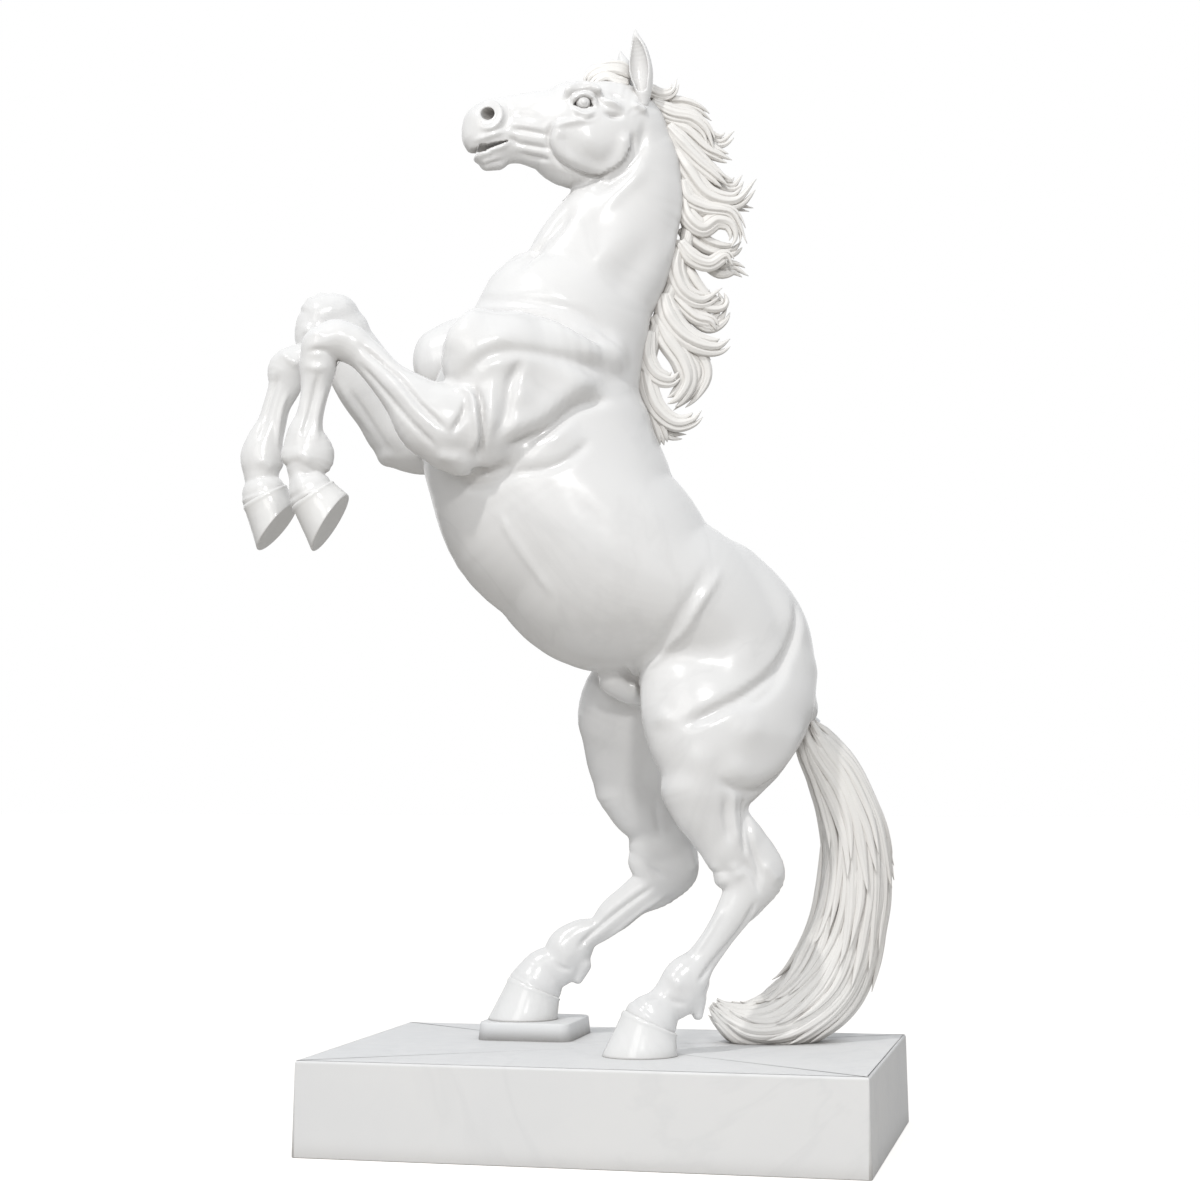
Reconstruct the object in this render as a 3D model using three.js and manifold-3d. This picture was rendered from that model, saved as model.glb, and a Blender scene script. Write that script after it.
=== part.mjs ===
// A rearing marble horse on a rectangular plinth, carved in blocks that meet on flat seams and are pinned
// together with steel dowels. Millimetres, +Z up, origin at the centre of the plinth's underside.
import * as THREE from 'three';
import { mergeVertices } from 'three/addons/utils/BufferGeometryUtils.js';
import Module from 'manifold-3d';

const wasm = await Module();
wasm.setup();

// Plinth and the low pad under the far hind hoof
const PLINTH_LENGTH = 1500;
const PLINTH_WIDTH = 976;
const PLINTH_HEIGHT = 250;
const PLINTH_FLARE = 6;
const PLINTH_CHAMFER = 8;
const PAD_LENGTH = 262;
const PAD_WIDTH = 280;
const PAD_HEIGHT = 50;
const PAD_FLARE = 5;
const PAD_CORNER = 30;
const PAD_CHAMFER = 4;
const PAD_PAST_HOOF_X = 29;
const PAD_PAST_HOOF_Y = 31;

// Where the horse stands on the plinth, and how far its body is turned on it
const HORSE_X = 0;
const HORSE_Y = 35;
const HORSE_TURN = THREE.MathUtils.degToRad(22);

// Joints between the blocks: open seam, steel dowels and their holes
const SEAM = 0.3;
const DOWEL_PLAY = 0.5;
const WELD = 0.02;
const ROD_RADIUS = 16;
const DOWEL_RADIUS = 10;
const PIN_RADIUS = 5;
const ROD_DEPTH = 110;
const DOWEL_DEPTH = 60;
const PIN_DEPTH = 24;
const ANCHOR_DEPTH = 120;
const NECK_ROD_SPREAD = 120;

// Small features
const EYE_RADIUS = 21;
const EYE_SET_BACK = 9;
const NOSTRIL_RADIUS = 17;
const MOUTH_LENGTH = 130;
const MOUTH_HEIGHT = 7;
const MOUTH_SLOPE = THREE.MathUtils.degToRad(-17);
const EAR_CUP_SHARE = 0.68;
const EAR_CUP_FORWARD = -8;
const EAR_CUP_OUTWARD = 14;
const LOCK_WIDTH = 26;
const FORELOCK_WIDTH = 17;
const MANE_PIN_INSET = 16;
const HAIR_PLAY = 0.4;
const HOOF_ROLL = 16;
const LOCK_SIDES = 5;
const BAR_SIDES = 8;

// How softly one mass of flesh runs into the next, and how finely the torso is cast
const BODY_BLEND = 46;
const LEG_BLEND = 24;
const FACE_BLEND = 20;
const TORSO_CELL = 62;

// Rings of a block turn with a seam up to so many times its size away, and nearer than that they stay clear of it.
const TURN_SHARE = 2.2;
const NEAR_SHARE = 1.6;
const SEAM_CLEAR = 6;

const at = (x, y, z) => new THREE.Vector3(x, y, z);
const SIDEWAYS = at(0, 1, 0);

// The horse is measured in its own frame: x runs back from chest to tail, y across to its far side, z up from
// the plinth. A row of an outline is [front x, front z, back x, back z, y, half width]: two facing points of
// the silhouette seen from the side, the middle of the section across the horse, and half its width.
const TRUNK = [
  [-388, 2082, 90, 1995, 0, 138],
  [-424, 2010, 74, 1915, 0, 160],
  [-470, 1900, 66, 1835, 0, 188],
  [-530, 1770, 80, 1790, 0, 212],
  [-555, 1660, 95, 1715, 0, 235],
  [-547, 1577, 121, 1649, 0, 250],
  [-512, 1436, 179, 1550, 0, 270],
  [-447, 1343, 231, 1487, 0, 284],
  [-376, 1225, 301, 1450, 0, 290],
  [-267, 1170, 371, 1391, 0, 286],
  [-123, 1127, 448, 1320, 0, 270],
  [-25, 1084, 496, 1233, 0, 252],
  [62, 1030, 541, 1142, 0, 232],
  [122, 976, 566, 1046, 0, 205],
  [190, 948, 564, 950, 0, 170],
  [270, 910, 530, 880, 0, 120],
];
const NECK = [
  [-388, 2082, 90, 1995, 0, 138],
  [-296, 2146, 100, 2045, 0, 118],
  [-262, 2210, 130, 2110, 0, 106],
  [-222, 2272, 160, 2180, 0, 97],
  [-180, 2320, 187, 2275, 0, 90],
  [-105, 2374, 192, 2395, 0, 84],
  [-98, 2408, 168, 2540, 0, 82],
  [-119, 2412, 104, 2662, 0, 84],
];
const HEAD = [
  [-98, 2436, 104, 2662, 0, 84],
  [-72, 2436, 45, 2712, 0, 98],
  [-105, 2418, -45, 2722, 0, 106],
  [-163, 2410, -110, 2714, 0, 104],
  [-206, 2448, -164, 2690, 0, 88],
  [-251, 2465, -224, 2683, 0, 70],
  [-290, 2473, -281, 2672, 0, 60],
  [-330, 2470, -330, 2662, 0, 56],
  [-360, 2470, -374, 2652, 0, 58],
  [-384, 2484, -398, 2638, 0, 54],
  [-400, 2512, -410, 2606, 0, 38],
];
const LEFT = {
  side: -1,
  // Rows of muscles, ears and the knobs of elbow, knee and fetlock are [x, z, y, half depth, half width].
  shoulder: [[-60, 1905, -110, 60, 60], [-250, 1868, -170, 118, 92], [-395, 1850, -205, 128, 88],
    [-440, 1838, -208, 90, 66]],
  arm: [[-200, 1800, -165, 95, 80], [-330, 1745, -195, 130, 90], [-430, 1690, -212, 118, 86],
    [-500, 1680, -214, 112, 82]],
  elbow: [[-505, 1604, -218, 44, 52], [-466, 1594, -218, 50, 54]],
  knee: [[-850, 1905, -165, 38, 46], [-795, 1924, -166, 38, 46]],
  foreErgot: [[-845, 1628, -156, 20, 24], [-828, 1602, -156, 13, 16]],
  hindErgot: [[175, 142, -239, 24, 24], [176, 104, -240, 14, 16]],
  ear: [[64, 2646, -58, 16, 16], [64, 2690, -60, 26, 23], [57, 2742, -62, 34, 27], [51, 2800, -64, 24, 20],
    [42, 2838, -66, 10, 9], [40, 2855, -66, 3, 3]],
  forearm: [
    [-570, 1595, -452, 1765, -213, 82],
    [-598, 1612, -492, 1787, -211, 80],
    [-640, 1690, -560, 1815, -204, 66],
    [-690, 1765, -630, 1852, -192, 52],
    [-740, 1828, -687, 1910, -178, 45],
    [-785, 1868, -736, 1949, -168, 44],
  ],
  cannon: [
    [-785, 1868, -736, 1949, -168, 44],
    [-815, 1858, -796, 1976, -164, 48],
    [-888, 1902, -812, 1875, -161, 50],
    [-898, 1860, -797, 1850, -160, 47],
    [-894, 1815, -808, 1805, -160, 40],
    [-896, 1752, -824, 1750, -159, 32],
    [-910, 1698, -832, 1700, -158, 33],
    [-932, 1650, -828, 1656, -157, 40],
    [-944, 1604, -802, 1592, -156, 44],
    [-932, 1570, -836, 1578, -155, 40],
    [-921, 1530, -838, 1552, -155, 42],
    [-914, 1462, -806, 1534, -155, 60],
  ],
  foreHoof: { coronet: [-914, 1462, -806, 1534], sole: [-859, 1343, -761, 1496], y: -155, top: 62, bottom: 80,
    roll: HOOF_ROLL },
  thigh: [
    [60, 1060, 560, 1075, -95, 120],
    [32, 990, 545, 985, -125, 132],
    [27, 915, 500, 888, -155, 132],
    [40, 840, 448, 815, -175, 120],
    [62, 778, 392, 758, -188, 102],
    [82, 717, 322, 700, -197, 84],
  ],
  gaskin: [
    [82, 717, 322, 700, -197, 84],
    [104, 663, 321, 664, -201, 76],
    [134, 614, 334, 634, -205, 66],
    [164, 569, 352, 604, -208, 58],
    [192, 535, 372, 574, -210, 52],
  ],
  shank: [
    [192, 535, 372, 574, -210, 52],
    [217, 503, 412, 520, -211, 48],
    [228, 462, 424, 478, -213, 47],
    [236, 415, 392, 432, -216, 44],
    [216, 369, 345, 378, -221, 38],
    [196, 329, 300, 328, -226, 33],
    [169, 289, 262, 278, -230, 32],
    [136, 255, 226, 226, -234, 35],
    [92, 230, 206, 172, -237, 44],
    [64, 190, 178, 130, -240, 44],
    [30, 152, 134, 104, -243, 44],
    [-26, 122, 116, 56, -248, 62],
  ],
  hindHoof: { coronet: [-26, 122, 116, 56], sole: [-86, 0, 119, 0], y: -248, top: 64, bottom: 88, lift: 0 },
};
const RIGHT = {
  side: 1,
  shoulder: [[-60, 1905, 110, 60, 60], [-250, 1895, 160, 118, 90], [-400, 1938, 185, 132, 86],
    [-494, 1930, 190, 98, 72]],
  arm: [[-200, 1800, 165, 95, 80], [-340, 1755, 190, 125, 88], [-450, 1722, 205, 118, 84],
    [-530, 1702, 208, 94, 80]],
  elbow: [[-636, 1656, 208, 26, 44], [-606, 1656, 208, 24, 44]],
  knee: [[-838, 2058, 172, 38, 46], [-772, 2070, 173, 36, 46]],
  foreErgot: [[-958, 1648, 156, 20, 24], [-948, 1622, 156, 13, 16]],
  hindErgot: [[-62, PAD_HEIGHT + 150, 234, 22, 24], [-78, PAD_HEIGHT + 112, 235, 14, 16]],
  ear: [[44, 2650, 58, 16, 16], [44, 2690, 60, 26, 23], [38, 2740, 63, 33, 27], [32, 2788, 66, 23, 20],
    [23, 2820, 68, 10, 9], [20, 2836, 68, 3, 3]],
  forearm: [
    [-628, 1640, -490, 1752, 208, 80],
    [-672, 1668, -506, 1812, 206, 80],
    [-712, 1732, -560, 1873, 200, 72],
    [-758, 1792, -617, 1931, 192, 64],
    [-795, 1858, -674, 2003, 184, 56],
    [-830, 1930, -723, 2066, 176, 50],
  ],
  cannon: [
    [-830, 1930, -723, 2066, 176, 50],
    [-850, 1960, -778, 2120, 172, 54],
    [-893, 2044, -800, 1960, 168, 54],
    [-884, 1982, -834, 1903, 165, 52],
    [-982, 1908, -862, 1880, 162, 48],
    [-979, 1850, -880, 1850, 160, 38],
    [-993, 1789, -912, 1789, 159, 32],
    [-1011, 1732, -924, 1734, 158, 33],
    [-1040, 1680, -932, 1684, 157, 40],
    [-1054, 1634, -934, 1640, 156, 44],
    [-1044, 1590, -944, 1596, 155, 40],
    [-1038, 1550, -944, 1570, 155, 42],
    [-1044, 1500, -924, 1562, 155, 60],
  ],
  foreHoof: { coronet: [-1044, 1500, -924, 1562], sole: [-1003, 1376, -892, 1508], y: 155, top: 62, bottom: 80,
    roll: HOOF_ROLL },
  thigh: [
    [30, 1076, 545, 1085, 95, 120],
    [-54, 998, 500, 985, 125, 132],
    [-124, 921, 430, 888, 155, 132],
    [-104, 851, 360, 830, 175, 120],
    [-76, 785, 285, 772, 188, 102],
    [-38, 717, 215, 705, 197, 84],
  ],
  gaskin: [
    [-38, 717, 215, 705, 197, 84],
    [-2, 655, 214, 662, 201, 76],
    [40, 606, 220, 634, 205, 66],
    [64, 568, 232, 606, 208, 58],
    [73, 532, 248, 572, 210, 52],
  ],
  shank: [
    [73, 532, 248, 572, 210, 52],
    [73, 502, 268, 530, 211, 49],
    [54, 464, 276, 482, 213, 47],
    [34, 422, 252, 440, 216, 44],
    [-14, 382, 186, 402, 221, 38],
    [-54, 341, 104, 344, 226, 32],
    [-84, 306, 44, 302, 230, 31],
    [-132, 301, -2, 268, 234, 35],
    [-167, PAD_HEIGHT + 222, -30, PAD_HEIGHT + 184, 238, 42],
    [-197, PAD_HEIGHT + 178, -66, PAD_HEIGHT + 132, 241, 44],
    [-240, PAD_HEIGHT + 162, -108, PAD_HEIGHT + 104, 243, 44],
    [-273, PAD_HEIGHT + 122, -129, PAD_HEIGHT + 58, 248, 62],
  ],
  hindHoof: {
    coronet: [-273, 122, -129, 58], sole: [-336, 0, -135, 0], y: 248, top: 64, bottom: 88, lift: PAD_HEIGHT,
  },
};
const TAIL = [
  [505, 902, 556, 960, 0, 42],
  [500, 850, 592, 902, 0, 52],
  [512, 790, 640, 845, 0, 62],
  [540, 722, 700, 772, 0, 72],
  [564, 650, 740, 689, 0, 80],
  [573, 580, 772, 600, 0, 85],
  [572, 506, 784, 505, 0, 88],
  [563, 422, 782, 402, 0, 90],
  [548, 352, 766, 310, 0, 90],
  [518, 277, 744, 203, 0, 90],
  [475, 208, 696, 105, 0, 90],
  [431, 159, 602, 26, 0, 88],
  [388, 126, 490, -22, 0, 82],
  [338, 112, 390, -20, 0, 60],
  [290, 114, 318, 34, 0, 32],
  [256, 122, 270, 92, 0, 10],
];

// A seam is a flat face across a limb at one row of its outline: a point on the limb's middle line and the
// direction that the limb runs there.
const facing = (from, to) => to.clone().sub(from).normalize();
const middleOf = ([frontX, frontZ, backX, backZ, y]) => at((frontX + backX) / 2, y, (frontZ + backZ) / 2);
function seamAt(rows, index) {
  const [frontX, frontZ, backX, backZ] = rows[index];
  const before = middleOf(rows[Math.max(index - 1, 0)]);
  const after = middleOf(rows[Math.min(index + 1, rows.length - 1)]);
  const normal = at(frontZ - backZ, 0, backX - frontX).normalize();
  if (normal.dot(after.sub(before)) < 0) normal.negate();
  return { point: middleOf(rows[index]), normal, size: Math.hypot(backX - frontX, backZ - frontZ) / 2 };
}

// A limb's flesh: elliptical sections strung on a smooth middle line, which tells how far a point is outside.
class Flesh {
  constructor(stations, fineness = 1) {
    const line = new THREE.CatmullRomCurve3(stations.map((s) => s.centre), false, 'centripetal');
    const girth = new THREE.CatmullRomCurve3(stations.map((s) => at(s.deep, s.half, 0)), false, 'centripetal');
    const steps = (stations.length - 1) * fineness;
    this.rings = Array.from({ length: steps + 1 }, (_, i) => {
      const { x: deep, y: half } = girth.getPoint(i / steps);
      return { centre: line.getPoint(i / steps), deep, half };
    });
    this.links = this.rings.slice(1).map((end, i) => {
      const start = this.rings[i];
      const along = end.centre.clone().sub(start.centre);
      const length = along.length();
      along.divideScalar(length);
      const across = SIDEWAYS.clone().addScaledVector(along, -along.y).normalize();
      return { start, end, along, length, across, up: across.clone().cross(along) };
    });
    this.reach = Math.max(...stations.map((s) => Math.max(s.deep, s.half)));
  }

  outside(p) {
    let least = Infinity;
    for (const { start, end, along, length, across, up } of this.links) {
      const [x, y, z] = [p.x - start.centre.x, p.y - start.centre.y, p.z - start.centre.z];
      const run = x * along.x + y * along.y + z * along.z;
      const share = THREE.MathUtils.clamp(run / length, 0, 1);
      const deep = start.deep + (end.deep - start.deep) * share;
      const half = start.half + (end.half - start.half) * share;
      const past = run - share * length;
      const side = x * across.x + y * across.y + z * across.z;
      const rise = x * up.x + y * up.y + z * up.z;
      const scale = Math.hypot(rise / deep, side / half, past / Math.min(deep, half));
      const away = Math.hypot(rise, side, past);
      const gap = scale > 1e-6 ? away * (1 - 1 / scale) : -Math.min(deep, half);
      if (gap < least) least = gap;
    }
    return least;
  }
}
const outline = (rows, fineness) => new Flesh(rows.map((row, i) => {
  const along = facing(middleOf(rows[Math.max(i - 1, 0)]), middleOf(rows[Math.min(i + 1, rows.length - 1)]));
  const [frontX, frontZ, backX, backZ, , half] = row;
  return { centre: middleOf(row), deep: at(backX - frontX, 0, backZ - frontZ).cross(along).length() / 2, half };
}), fineness);
const muscle = (rows, fineness) => new Flesh(
  rows.map(([x, z, y, deep, half]) => ({ centre: at(x, y, z), deep, half })),
  fineness,
);

// Several lengths of flesh grown into one, with a soft valley as wide as the blend where they meet.
function grown(parts, blend) {
  return (p) => parts.reduce((sum, part) => {
    const next = part.outside(p);
    const overlap = Math.max(blend - Math.abs(sum - next), 0) / blend;
    return Math.min(sum, next) - (overlap * overlap * blend) / 4;
  }, Infinity);
}

// A ring of points on the flesh, found by going out from the middle line until the flesh ends.
function ringOn(form, centre, normal, reach, sides, swell = 0) {
  const across = SIDEWAYS.clone().addScaledVector(normal, -normal.y).normalize();
  const up = across.clone().cross(normal);
  const steps = 24;
  return Array.from({ length: sides }, (_, i) => {
    const angle = (2 * Math.PI * i) / sides;
    const ray = up.clone().multiplyScalar(Math.cos(angle)).addScaledVector(across, Math.sin(angle));
    const outside = (r) => form(centre.clone().addScaledVector(ray, r)) > 0;
    let inner = 0;
    let outer = reach;
    for (let k = 1; k <= steps; k += 1) {
      outer = (reach * k) / steps;
      if (outside(outer)) break;
      inner = outer;
    }
    for (let k = 0; k < 12; k += 1) {
      const middle = (inner + outer) / 2;
      if (outside(middle)) outer = middle;
      else inner = middle;
    }
    return centre.clone().addScaledVector(ray, Math.max(inner, 1) + swell);
  });
}

function solid(geometry) {
  const bare = geometry.clone();
  bare.deleteAttribute('normal');
  bare.deleteAttribute('uv');
  const { index, attributes } = mergeVertices(bare, 1e-4);
  const vertProperties = attributes.position.array;
  return new wasm.Manifold(new wasm.Mesh({ numProp: 3, vertProperties, triVerts: Uint32Array.from(index.array) }));
}

// A closed skin over rings of points, with a flat cap on each end ring.
function loft(rings) {
  const sides = rings[0].length;
  const middle = (ring) => ring.reduce((sum, p) => sum.add(p), at(0, 0, 0)).divideScalar(sides);
  const points = [...rings.flat(), middle(rings[0]), middle(rings.at(-1))];
  const last = (rings.length - 1) * sides;
  const faces = [];
  for (let j = 0; j < sides; j += 1) {
    const next = (j + 1) % sides;
    for (let ring = 0; ring < last; ring += sides) {
      faces.push(ring + j, ring + next, ring + sides + next, ring + j, ring + sides + next, ring + sides + j);
    }
    faces.push(points.length - 2, next, j, points.length - 1, last + j, last + next);
  }
  return solid(new THREE.BufferGeometry().setFromPoints(points).setIndex(faces));
}

// A closed skin cast over a form on a grid: each cell that the skin passes through holds one point of it, and
// the points of the four cells round a crossed edge make two triangles. Returns the skin, thickened by a swell.
function cast(form, low, high, cell) {
  const [nx, ny, nz] = high.clone().sub(low).divideScalar(cell).ceil().toArray();
  const corner = (i, j, k) => low.clone().add(at(i, j, k).multiplyScalar(cell));
  const index = (i, j, k) => (i * (ny + 1) + j) * (nz + 1) + k;
  const edge = (i, j, k) => Math.min(i, j, k, nx - i, ny - j, nz - k) === 0;
  const depth = new Float32Array((nx + 1) * (ny + 1) * (nz + 1));
  const everyCorner = (visit) => {
    for (let i = 0; i <= nx; i += 1) {
      for (let j = 0; j <= ny; j += 1) {
        for (let k = 0; k <= nz; k += 1) visit(i, j, k);
      }
    }
  };
  everyCorner((i, j, k) => {
    depth[index(i, j, k)] = edge(i, j, k) ? cell : form(corner(i, j, k));
  });
  const axes = [[1, 0, 0], [0, 1, 0], [0, 0, 1]];
  // The corners of the square that stands on (i, j, k) square to an axis, going backwards or forwards from it
  const squareAt = (i, j, k, axis, step) => {
    const [p, q] = [axes[(axis + 1) % 3], axes[(axis + 2) % 3]];
    return [[0, 0], [1, 0], [1, 1], [0, 1]].map(([u, v]) => index(
      i + step * (u * p[0] + v * q[0]),
      j + step * (u * p[1] + v * q[1]),
      k + step * (u * p[2] + v * q[2]),
    ));
  };
  // Where two parts of the skin would touch across one square, the narrower gap is filled.
  let touching = true;
  while (touching) {
    touching = false;
    everyCorner((i, j, k) => axes.forEach((_, axis) => {
      if (edge(i, j, k)) return;
      const square = squareAt(i, j, k, axis, 1);
      const [a, b, c, d] = square.map((name) => depth[name] < 0);
      if (a !== c || b !== d || a === b) return;
      const gap = square.filter((name) => depth[name] >= 0).sort((m, n) => depth[m] - depth[n])[0];
      depth[gap] = -1;
      touching = true;
    }));
  }
  const crossings = new Map();
  const squares = [];
  everyCorner((i, j, k) => axes.forEach(([a, b, c], axis) => {
    if (i + a > nx || j + b > ny || k + c > nz) return;
    const here = depth[index(i, j, k)];
    const there = depth[index(i + a, j + b, k + c)];
    if (here < 0 === there < 0) return;
    const crossing = corner(i, j, k).lerp(corner(i + a, j + b, k + c), here / (here - there));
    const square = squareAt(i, j, k, axis, -1);
    square.forEach((name) => crossings.set(name, [...(crossings.get(name) ?? []), crossing]));
    squares.push(here < 0 ? square : square.reverse());
  }));
  const slope = (p) => at(...axes.map(([a, b, c]) => (
    form(p.clone().add(at(a, b, c))) - form(p.clone().sub(at(a, b, c)))) / 2));
  const order = new Map([...crossings.keys()].map((name, i) => [name, i]));
  const points = [...crossings.values()].map((found) => {
    const point = found.reduce((sum, p) => sum.add(p), at(0, 0, 0)).divideScalar(found.length);
    return point.addScaledVector(slope(point).normalize(), -THREE.MathUtils.clamp(form(point), -cell, cell) / 2);
  });
  const normals = points.map((point) => slope(point).normalize());
  const faces = squares.flatMap((square) => {
    const [a, b, c, d] = square.map((name) => order.get(name));
    const across = points[a].distanceTo(points[c]) < points[b].distanceTo(points[d]);
    return across ? [a, b, c, a, c, d] : [a, b, d, b, c, d];
  });
  return (swell) => solid(new THREE.BufferGeometry()
    .setFromPoints(points.map((point, i) => point.clone().addScaledVector(normals[i], swell))).setIndex(faces));
}

// A round bar about a centre; it can be drawn in the plinth's frame instead of the horse's.
function bar(centre, along, radius, length, frame) {
  const turn = new THREE.Quaternion().setFromUnitVectors(at(0, 1, 0), along);
  const geometry = new THREE.CylinderGeometry(radius, radius, length, BAR_SIDES).applyQuaternion(turn)
    .translate(centre.x, centre.y, centre.z);
  return solid(frame ? geometry.applyMatrix4(frame) : geometry);
}

// A saw takes off what lies past a seam, which a seam turned round takes off before it.
const turned = (seam) => ({ ...seam, normal: seam.normal.clone().negate() });
const saw = (seam, radius, gap = SEAM / 2) => bar(
  seam.point.clone().addScaledVector(seam.normal, radius - gap), seam.normal, radius, 2 * radius);

// A block of the horse: rings along the flesh between two seams, each end half a seam short of its face.
function block(flesh, form, { from, to, sides = 12, stretch = 1.15, swell = 0 }) {
  const endRing = (seam, inward) => {
    const face = seam.point.clone().addScaledVector(seam.normal, inward * (SEAM / 2 - swell));
    return ringOn(seam.form ?? form, face, seam.normal, stretch * seam.size, sides, swell);
  };
  // Rings next to a seam lie nearly parallel to it, and turn square to the limb further away.
  const seams = [from && { seam: from, inward: 1 }, to && { seam: to, inward: -1 }].filter(Boolean);
  const line = [...flesh.rings];
  const roundOff = (end, before) => [0.5, 0.85].map((share) => ({
    ...end,
    centre: end.centre.clone()
      .addScaledVector(facing(before.centre, end.centre), share * Math.min(end.deep, end.half)),
  }));
  if (!from) line.unshift(...roundOff(flesh.rings[0], flesh.rings[1]).reverse());
  if (!to) line.push(...roundOff(flesh.rings.at(-1), flesh.rings.at(-2)));
  const rings = line.map(({ centre, deep, half }, i) => {
    const course = facing(line[Math.max(i - 1, 0)].centre, line[Math.min(i + 1, line.length - 1)].centre);
    const along = course.clone();
    for (const { seam } of seams) {
      const pull = Math.max(1 - centre.distanceTo(seam.point) / (TURN_SHARE * seam.size), 0);
      along.lerp(seam.normal, pull).normalize();
    }
    const reach = stretch * Math.max(deep / Math.max(along.dot(course), 0.5), half);
    const ring = ringOn(form, centre, along, reach, sides, swell);
    const clears = seams.every(({ seam, inward }) => [centre, ...ring].every((p) => (
      p.distanceTo(seam.point) > NEAR_SHARE * seam.size
      || inward * p.clone().sub(seam.point).dot(seam.normal) > SEAM_CLEAR)));
    return clears && ring;
  }).filter(Boolean);
  const whole = loft([...(from ? [endRing(from, 1)] : []), ...rings, ...(to ? [endRing(to, -1)] : [])]);
  return seams.reduce((left, { seam, inward }) => left.subtract(
    saw(inward > 0 ? turned(seam) : seam, 1.5 * seam.size, SEAM / 3),
  ), whole);
}

// Steel dowels across the seams, each with a hole in every block that it holds
const pieces = {};
const dowels = {};
const drilled = [];
function pin(name, centre, along, radius, depth, holders) {
  dowels[name] = bar(centre, along, radius, 2 * depth);
  const hole = (frame) => bar(centre, along, radius + DOWEL_PLAY, 2 * (depth + DOWEL_PLAY), frame);
  drilled.push({ holders, hole });
}

// The blocks are lofted in the horse's frame. Rods that reach the plinth are moved there by the same place.
const horse = new THREE.Group();
horse.position.set(HORSE_X, HORSE_Y, PLINTH_HEIGHT);
horse.rotation.z = HORSE_TURN;
horse.updateMatrix();
const part = new THREE.Group();
part.add(horse);

const stone = (color, roughness) => new THREE.MeshStandardMaterial({ color, roughness, metalness: 0 });
const bodyMarble = stone(0xf1f0ee, 0.22);
const hairMarble = stone(0xefece6, 0.45);
const hoofMarble = stone(0xeeedea, 0.2);
const plinthMarble = stone(0xf0f0ef, 0.3);
const steel = new THREE.MeshStandardMaterial({ color: 0xb8babd, roughness: 0.35, metalness: 1 });

// Head, neck and trunk
const trunk = outline(TRUNK, 2);
const neck = outline(NECK, 2);
const head = outline(HEAD, 2);
const tail = outline(TAIL);
const bothSides = (make) => [-1, 1].map(make);
const cheeks = bothSides((side) => muscle([[-88, 2530, side * 62, 70, 34], [-40, 2560, side * 58, 60, 34]]));
const brows = bothSides((side) => muscle([[-140, 2655, side * 80, 20, 18], [-85, 2668, side * 84, 20, 18]]));
const nostrils = bothSides((side) => muscle([[-372, 2600, side * 30, 36, 26], [-398, 2585, side * 28, 32, 24]]));
const chin = muscle([[-350, 2480, 0, 31, 34], [-388, 2480, 0, 28, 32]]);
const upperLip = muscle([[-390, 2560, 0, 42, 46], [-404, 2540, 0, 35, 40]]);
const croup = muscle([[330, 1310, 0, 80, 120], [405, 1232, 0, 86, 150], [452, 1150, 0, 86, 165],
  [474, 1060, 0, 76, 150]]);
const dock = muscle([[455, 1010, 0, 70, 70], [500, 965, 0, 52, 60], [531, 930, 0, 40, 46]]);
const sheath = muscle([[-10, 1010, 0, 44, 50], [40, 985, 0, 44, 46], [92, 970, 0, 30, 36]]);
const skull = grown([neck, head, ...cheeks, ...brows, ...nostrils, chin, upperLip], FACE_BLEND);

const neckSeam = seamAt(NECK, 0);
const headSeam = { ...seamAt(NECK, NECK.length - 1), form: skull };
const tailForm = grown([dock, tail], FACE_BLEND);
const tailSeam = { ...seamAt(TAIL, 0), form: tailForm };

// Legs: each hangs from a shoulder or thigh that is carved with the trunk
function hoof({ coronet, sole, y, top, bottom, lift = 0, roll = 0 }, seam) {
  const corners = 16;
  const standing = Math.abs(sole[1] - sole[3]) < 1;
  const underside = at(sole[3] - sole[1], 0, sole[0] - sole[2]).normalize();
  const rings = [0, 0.1, 0.55, 1].map((share) => {
    const row = coronet.map((value, i) => THREE.MathUtils.lerp(value, sole[i], share));
    const half = THREE.MathUtils.lerp(top, bottom, share);
    const spread = at(row[2] - row[0], 0, row[3] - row[1]).multiplyScalar(0.5);
    const centre = at((row[0] + row[2]) / 2, y, (row[1] + row[3]) / 2 + lift);
    if (share === 0) centre.addScaledVector(seam.normal, SEAM / 2);
    if (share === 1 && standing) centre.z += SEAM;
    return Array.from({ length: corners }, (_, i) => {
      const angle = (2 * Math.PI * i) / corners;
      return centre.clone().addScaledVector(spread, Math.cos(angle))
        .addScaledVector(SIDEWAYS, -half * Math.sin(angle))
        .addScaledVector(underside, -roll * share * share * Math.sin(angle));
    });
  });
  return loft(rings);
}

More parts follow.
